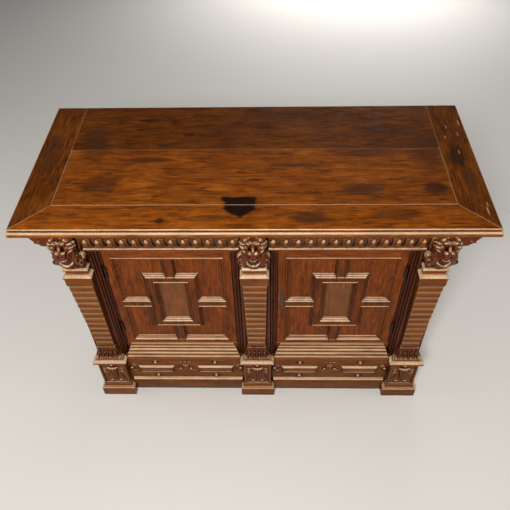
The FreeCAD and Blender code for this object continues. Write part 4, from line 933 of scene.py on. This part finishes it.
STAR_X, STAR_Z, RECESS_X, RECESS_Z, RECESS_FACE = 0.103, 0.16, 0.053, 0.109, 0.1512
ARM_HALF, SIDE_ARM_HALF, SIDE_ARM_DROP, ARM_LAP, ARM_END = 0.024, 0.03, 0.008, 0.014, 0.003
KEY_X, KEY_Z, KEYHOLE = 0.099, 0.617, 0.003
FIELD_MOULDING = [(-0.005, 0.144), (-0.005, 0.1415), (-0.0035, 0.1398), (-0.001, 0.1392), (0.0015, 0.1398),
                  (0.0028, 0.1415), (0.0034, 0.1428), (0.0072, 0.1452), (0.0092, 0.1455), (0.0096, 0.1468),
                  (0.0138, 0.1492), (0.0158, 0.1495), (0.0164, 0.1508), (0.0195, 0.153), (-0.005, 0.153)]
STAR_SLOPE = [(0.0, 0.153), (0.0, 0.1512), (0.0036, 0.1478), (0.0058, 0.1475), (0.0062, 0.146),
              (0.0095, 0.143),
              (0.0112, 0.1427), (0.0116, 0.1405), (0.0124, 0.1386), (0.014, 0.1376), (0.0158, 0.1378),
              (0.0172, 0.139), (0.018, 0.1406)]
STAR_INNER = [(0.0385, 0.1406), (0.0392, 0.139), (0.0406, 0.1378), (0.0424, 0.1376), (0.0438, 0.1386),
              (0.0446, 0.1404), (0.048, 0.1432), (0.05, 0.1436), (0.0506, 0.1452), (0.0545, 0.1484),
              (0.0562, 0.1488), (0.057, 0.1504), (0.059, 0.153)]


def framed(shape, x, z, half_x, half_z, profile):
    """A mitred frame about a middle, whose profile is a closed list of (inset, setback)."""
    run(shape, [[at(x + across * (half_x - d), s, z + rise * (half_z - d)) for across, rise in (
        (-1, -1), (1, -1), (1, 1), (-1, 1))] for d, s in profile], looped=True)


def arm_outline(half_width, narrowing=1.0):
    """A ridge with a star's slope on each edge, as (offset, setback)."""
    slope = [(-half_width + d * narrowing, s) for d, s in STAR_SLOPE]
    return slope + [(-x, s) for x, s in reversed(slope)]


for name, side in (("left", -1), ("right", 1)):
    middle_x, middle_z = side * (LEAF_NEAR + LEAF_FAR) / 2, (FIELD_LOW + FIELD_HIGH) / 2
    low_x, high_x = span(side, FIELD_NEAR, FIELD_FAR)
    stiles = fresh()
    for near, far in ((LEAF_NEAR, FIELD_NEAR), (FIELD_FAR, LEAF_FAR)):
        start, end = span(side, near, far)
        if name == "right" and near == LEAF_NEAR:
            number = dice.random() * 9
            for lower, upper in ((LEAF_LOW, KEY_Z - KEYHOLE), (KEY_Z + KEYHOLE, LEAF_HIGH)):
                block(stiles, at(start, LEAF_FACE, lower), at(end, LEAF_BACK, upper), number)
            for x0, x1 in ((start, KEY_X - KEYHOLE), (KEY_X + KEYHOLE, end)):
                block(stiles, at(x0, LEAF_FACE, KEY_Z - KEYHOLE), at(x1, LEAF_BACK, KEY_Z + KEYHOLE), number)
        else:
            block(stiles, at(start, LEAF_FACE, LEAF_LOW), at(end, LEAF_BACK, LEAF_HIGH))
    piece("door_stiles_" + name, stiles, door_upright, "door_" + name, bevel=0.0006)
    shape = fresh()
    block(shape, at(low_x, LEAF_FACE, LEAF_LOW), at(high_x, LEAF_BACK, FIELD_LOW))
    block(shape, at(low_x, LEAF_FACE, FIELD_HIGH), at(high_x, LEAF_BACK, LEAF_HIGH))
    framed(shape, middle_x, middle_z, (high_x - low_x) / 2, (FIELD_HIGH - FIELD_LOW) / 2, FIELD_MOULDING)
    piece("door_rails_and_moulding_" + name, shape, door_level, "door_" + name, ["door_frame_" + name],
          bevel=0.0004)
    shape = fresh()
    framed(shape, middle_x, middle_z, STAR_X, STAR_Z, STAR_SLOPE + STAR_INNER)
    block(shape, at(middle_x - RECESS_X, RECESS_FACE, middle_z - RECESS_Z),
          at(middle_x + RECESS_X, PANEL_FACE, middle_z + RECESS_Z))
    for lower, upper in ((FIELD_LOW - ARM_END, middle_z - STAR_Z + ARM_LAP),
                         (middle_z + STAR_Z - ARM_LAP, FIELD_HIGH + ARM_END)):
        run(shape, [[at(middle_x + x, s, z) for x, s in arm_outline(ARM_HALF, 0.62)] for z in (lower, upper)])
    for start, end in ((low_x - ARM_END, middle_x - STAR_X + ARM_LAP),
                       (middle_x + STAR_X - ARM_LAP, high_x + ARM_END)):
        run(shape, [[at(x, s, middle_z - SIDE_ARM_DROP + z) for z, s in arm_outline(SIDE_ARM_HALF)]
                    for x in (start, end)])
    piece("door_star_moulded_" + name, shape, star_oak, "door_" + name, ["door_star_" + name],
          bevel=0.0004)
dressed(("door_panel",), door_upright)

# Drawers: a thick front with two raised oblong fields, turned bosses, half-round strapwork at its ends and a
# carved flower in its middle, all worked on the solid and waxed.
DRAWER_NEAR, DRAWER_FAR, DRAWER_LOW, DRAWER_HIGH = 0.0575, 0.5625, 0.092, 0.242
DRAWER_FACE, DRAWER_BACK = 0.123, 0.145
drawer_oak = oak("drawer_oak", (0.155, 0.043, 0.005), "X", 0.26, 1.1, 0.5, 0.016, slope_highlight=0.9, edge_rub_and_highlight=0.25,
                 side_shade=0.5)
flower_oak = oak("flower_oak", (0.23, 0.02, 0.004), "Z", 0.24, 0.9, 0.4, 0.01, slope_highlight=0.7, edge_rub_and_highlight=0.3)
FIELD_EDGE = [(0.0, 0.124), (0.0, 0.1222), (0.005, 0.118), (0.0056, 0.1168), (0.0092, 0.1138),
              (0.011, 0.1136),
              (0.0126, 0.115), (0.023, 0.1155), (0.023, 0.124)]
FIELD_X, FIELD_Z, FIELD_HALF_X, FIELD_HALF_Z = 0.128, 0.155, 0.0785, 0.024
BOSS_LEVELS, BOSS_FACE, STRAP_FACE, SHADE_DISC_FACE = (0.206, 0.104), 0.1205, 0.122, 0.1229
END_X, END_Z, FLOWER_Z = 0.236, 0.163, 0.184
for name, side in (("left", -1), ("right", 1)):
    middle = side * (DRAWER_NEAR + DRAWER_FAR) / 2
    start, end = span(side, DRAWER_NEAR, DRAWER_FAR)
    shape = fresh()
    block(shape, at(start, DRAWER_FACE, DRAWER_LOW), at(end, DRAWER_BACK, DRAWER_HIGH))
    piece("drawer_front_worked_" + name, shape, drawer_oak, "drawer_" + name, ["drawer_front_" + name],
          bevel=0.0012)
    shape = fresh()
    for way in (-1, 1):
        x = middle + way * FIELD_X
        framed(shape, x, FIELD_Z, FIELD_HALF_X, FIELD_HALF_Z, FIELD_EDGE)
        block(shape, at(x - 0.056, 0.1157, 0.1535), at(x + 0.056, 0.124, 0.1565))
        for z in BOSS_LEVELS:
            lump(shape, at(x, BOSS_FACE, z), (0.007, 0.0075, 0.007), rings=10, spokes=16)
            ring_about(shape, (x, z), STRAP_FACE, 0.0105, 0.0016)
        x = middle + way * END_X
        lump(shape, at(x, BOSS_FACE, END_Z), (0.0075, 0.007, 0.0075), rings=10, spokes=16)
        ring_about(shape, (x, END_Z), STRAP_FACE, 0.0165, 0.0026, way * 90, way * 90 + 180)
        ring_about(shape, (x, END_Z), 0.1225, 0.025, 0.0022, way * 90 + 10, way * 90 + 170)
        lump(shape, at(middle + way * 0.022, 0.1195, 0.16), (0.006, 0.006, 0.006))
        ring_about(shape, (middle + way * 0.028, 0.158), 0.1222, 0.011, 0.0015, 90 - way * 200, 90 + way * 40)
        ring_about(shape, (middle + way * 0.016, 0.196), 0.1222, 0.011, 0.002, 90 - way * 60, 90 + way * 150)
    piece("drawer_carving_" + name, shape, drawer_oak, "drawer_" + name, ["drawer_ornament_" + name],
          bevel=0)
    # Dark discs behind the bosses, in the surround's darker oak: a painted shadow round each boss.
    shape = fresh()
    for way in (-1, 1):
        for x, z, radii in [(FIELD_X, z, (0.02, 0.0036, 0.012)) for z in BOSS_LEVELS] + [
                (0.234, END_Z, (0.015, 0.0036, 0.03)), (0.024, 0.16, (0.015, 0.0036, 0.014))]:
            lump(shape, at(middle + way * x, SHADE_DISC_FACE, z), radii, rings=6, spokes=20)
    piece("drawer_grounds_" + name, shape, shaded_frame_oak, "drawer_" + name, bevel=0)
    shape = fresh()
    for petal in range(6):
        turn = math.radians(60 * petal + 30)
        lump(shape, at(middle + 0.0085 * math.cos(turn), 0.12, FLOWER_Z + 0.0085 * math.sin(turn)),
             (0.0062, 0.0042, 0.0045), turn=(0, -turn, 0), rings=6, spokes=10)
    lump(shape, at(middle, 0.1175, FLOWER_Z), (0.0055, 0.0055, 0.0055))
    lump(shape, at(middle, 0.121, 0.206), (0.006, 0.0035, 0.0075), rings=6, spokes=10)
    piece("drawer_flower_" + name, shape, flower_oak, "drawer_" + name, bevel=0)

# Base: between the pedestals a plain oak rail closes the bottom of the case, with a moulding along its upper
# edge. It is fixed to the posts behind the pedestals.
BASE_FACE, BASE_BACK, BASE_LOW, BASE_HIGH = 0.124, 0.15, 0.006, 0.088
BASE_EDGE = [(BASE_FACE, BASE_LOW), (0.1128, BASE_LOW), (0.112, 0.0075), (0.112, 0.076), (0.1128, 0.079),
             (0.115, 0.0812), (0.1185, 0.083), (0.119, 0.085), (0.1215, 0.0865), (0.1218, BASE_HIGH),
             (BASE_FACE, BASE_HIGH)]
shape = fresh()
for side in (-1, 1):
    start, end = span(side, BAY_NEAR, BAY_FAR)
    block(shape, at(start, BASE_FACE, BASE_LOW), at(end, BASE_BACK, BASE_HIGH))
    length_of(shape, BASE_EDGE, *span(side, 0.068, 0.552))
piece("base_rail_moulded", shape, drawer_oak, nodes=["base_rails"], bevel=0.0005)

# Key plate: a narrow forged iron plate on the right door's inner stile, with a pointed head and foot, a
# raised rib and a keyhole. It is nailed on.
key_iron = weathered("key_iron", (0.15, 0.14, 0.12), (0.055, 0.045, 0.036), 0.4, 1.0)
outline = [(0.0, -0.06), (0.003, -0.052), (0.0022, -0.044), (0.0055, -0.036), (0.0068, -0.02), (0.005, -0.01),
           (0.0068, 0.0), (0.0068, 0.02), (0.005, 0.03), (0.006, 0.04), (0.0028, 0.05), (0.0, 0.06)]
outline += [(-x, z) for x, z in reversed(outline[1:-1])]
shape = fresh()
run(shape, [[at(KEY_X + x * share, s, KEY_Z + z) for x, z in outline] for s, share in (
    (LEAF_FACE, 1.0), (0.141, 1.0), (0.1405, 0.86))])
tube(shape, [at(KEY_X, s, KEY_Z + z) for s, z in ((0.1408, 0.006), (0.1403, 0.03), (0.1408, 0.052))],
     (0.0007, 0.0011, 0.0006), 6)
lump(shape, at(KEY_X, 0.1405, KEY_Z - 0.047), (0.0026, 0.0012, 0.004))
ring_about(shape, (KEY_X, KEY_Z), 0.1406, 0.0036, 0.0008)
piece("key_plate_forged", shape, key_iron, "door_right", ["key_plate"], bevel=0)

# Case, hinges and lock: plain posts, rails and panels of darker oak, paler wood that was never waxed inside,
# and forged iron and steel. All of them are carried over from the construction.
inner_oak = oak("inner_oak", (0.25, 0.14, 0.065), "X", 0.6, 0.9, 0.3)
inner_oak_upright = oak("inner_oak_upright", (0.25, 0.14, 0.065), "Z", 0.6, 0.9, 0.3)
side_oak = oak("side_oak", (0.125, 0.028, 0.0035), "Z", 0.3, 1.2, 0.6, edge_rub_and_highlight=0.4)
iron = weathered("hinge_iron", (0.045, 0.028, 0.02), (0.022, 0.016, 0.013), 0.5, 0.7)
steel = weathered("lock_steel", (0.36, 0.35, 0.33), (0.21, 0.19, 0.17), 0.4, 1.0)
# The front posts take the surround's darker oak: painted shade.
dressed(("front_post",), shaded_frame_oak)
dressed(("side_frame", "side_panel", "rear_frame"), side_oak)
dressed(("back_boards", "partitions"), inner_oak_upright)
dressed(("carcass_floor", "shelf", "bearers", "drawer_box"), inner_oak)
dressed(("hinge",), iron)
dressed(("lock",), steel)
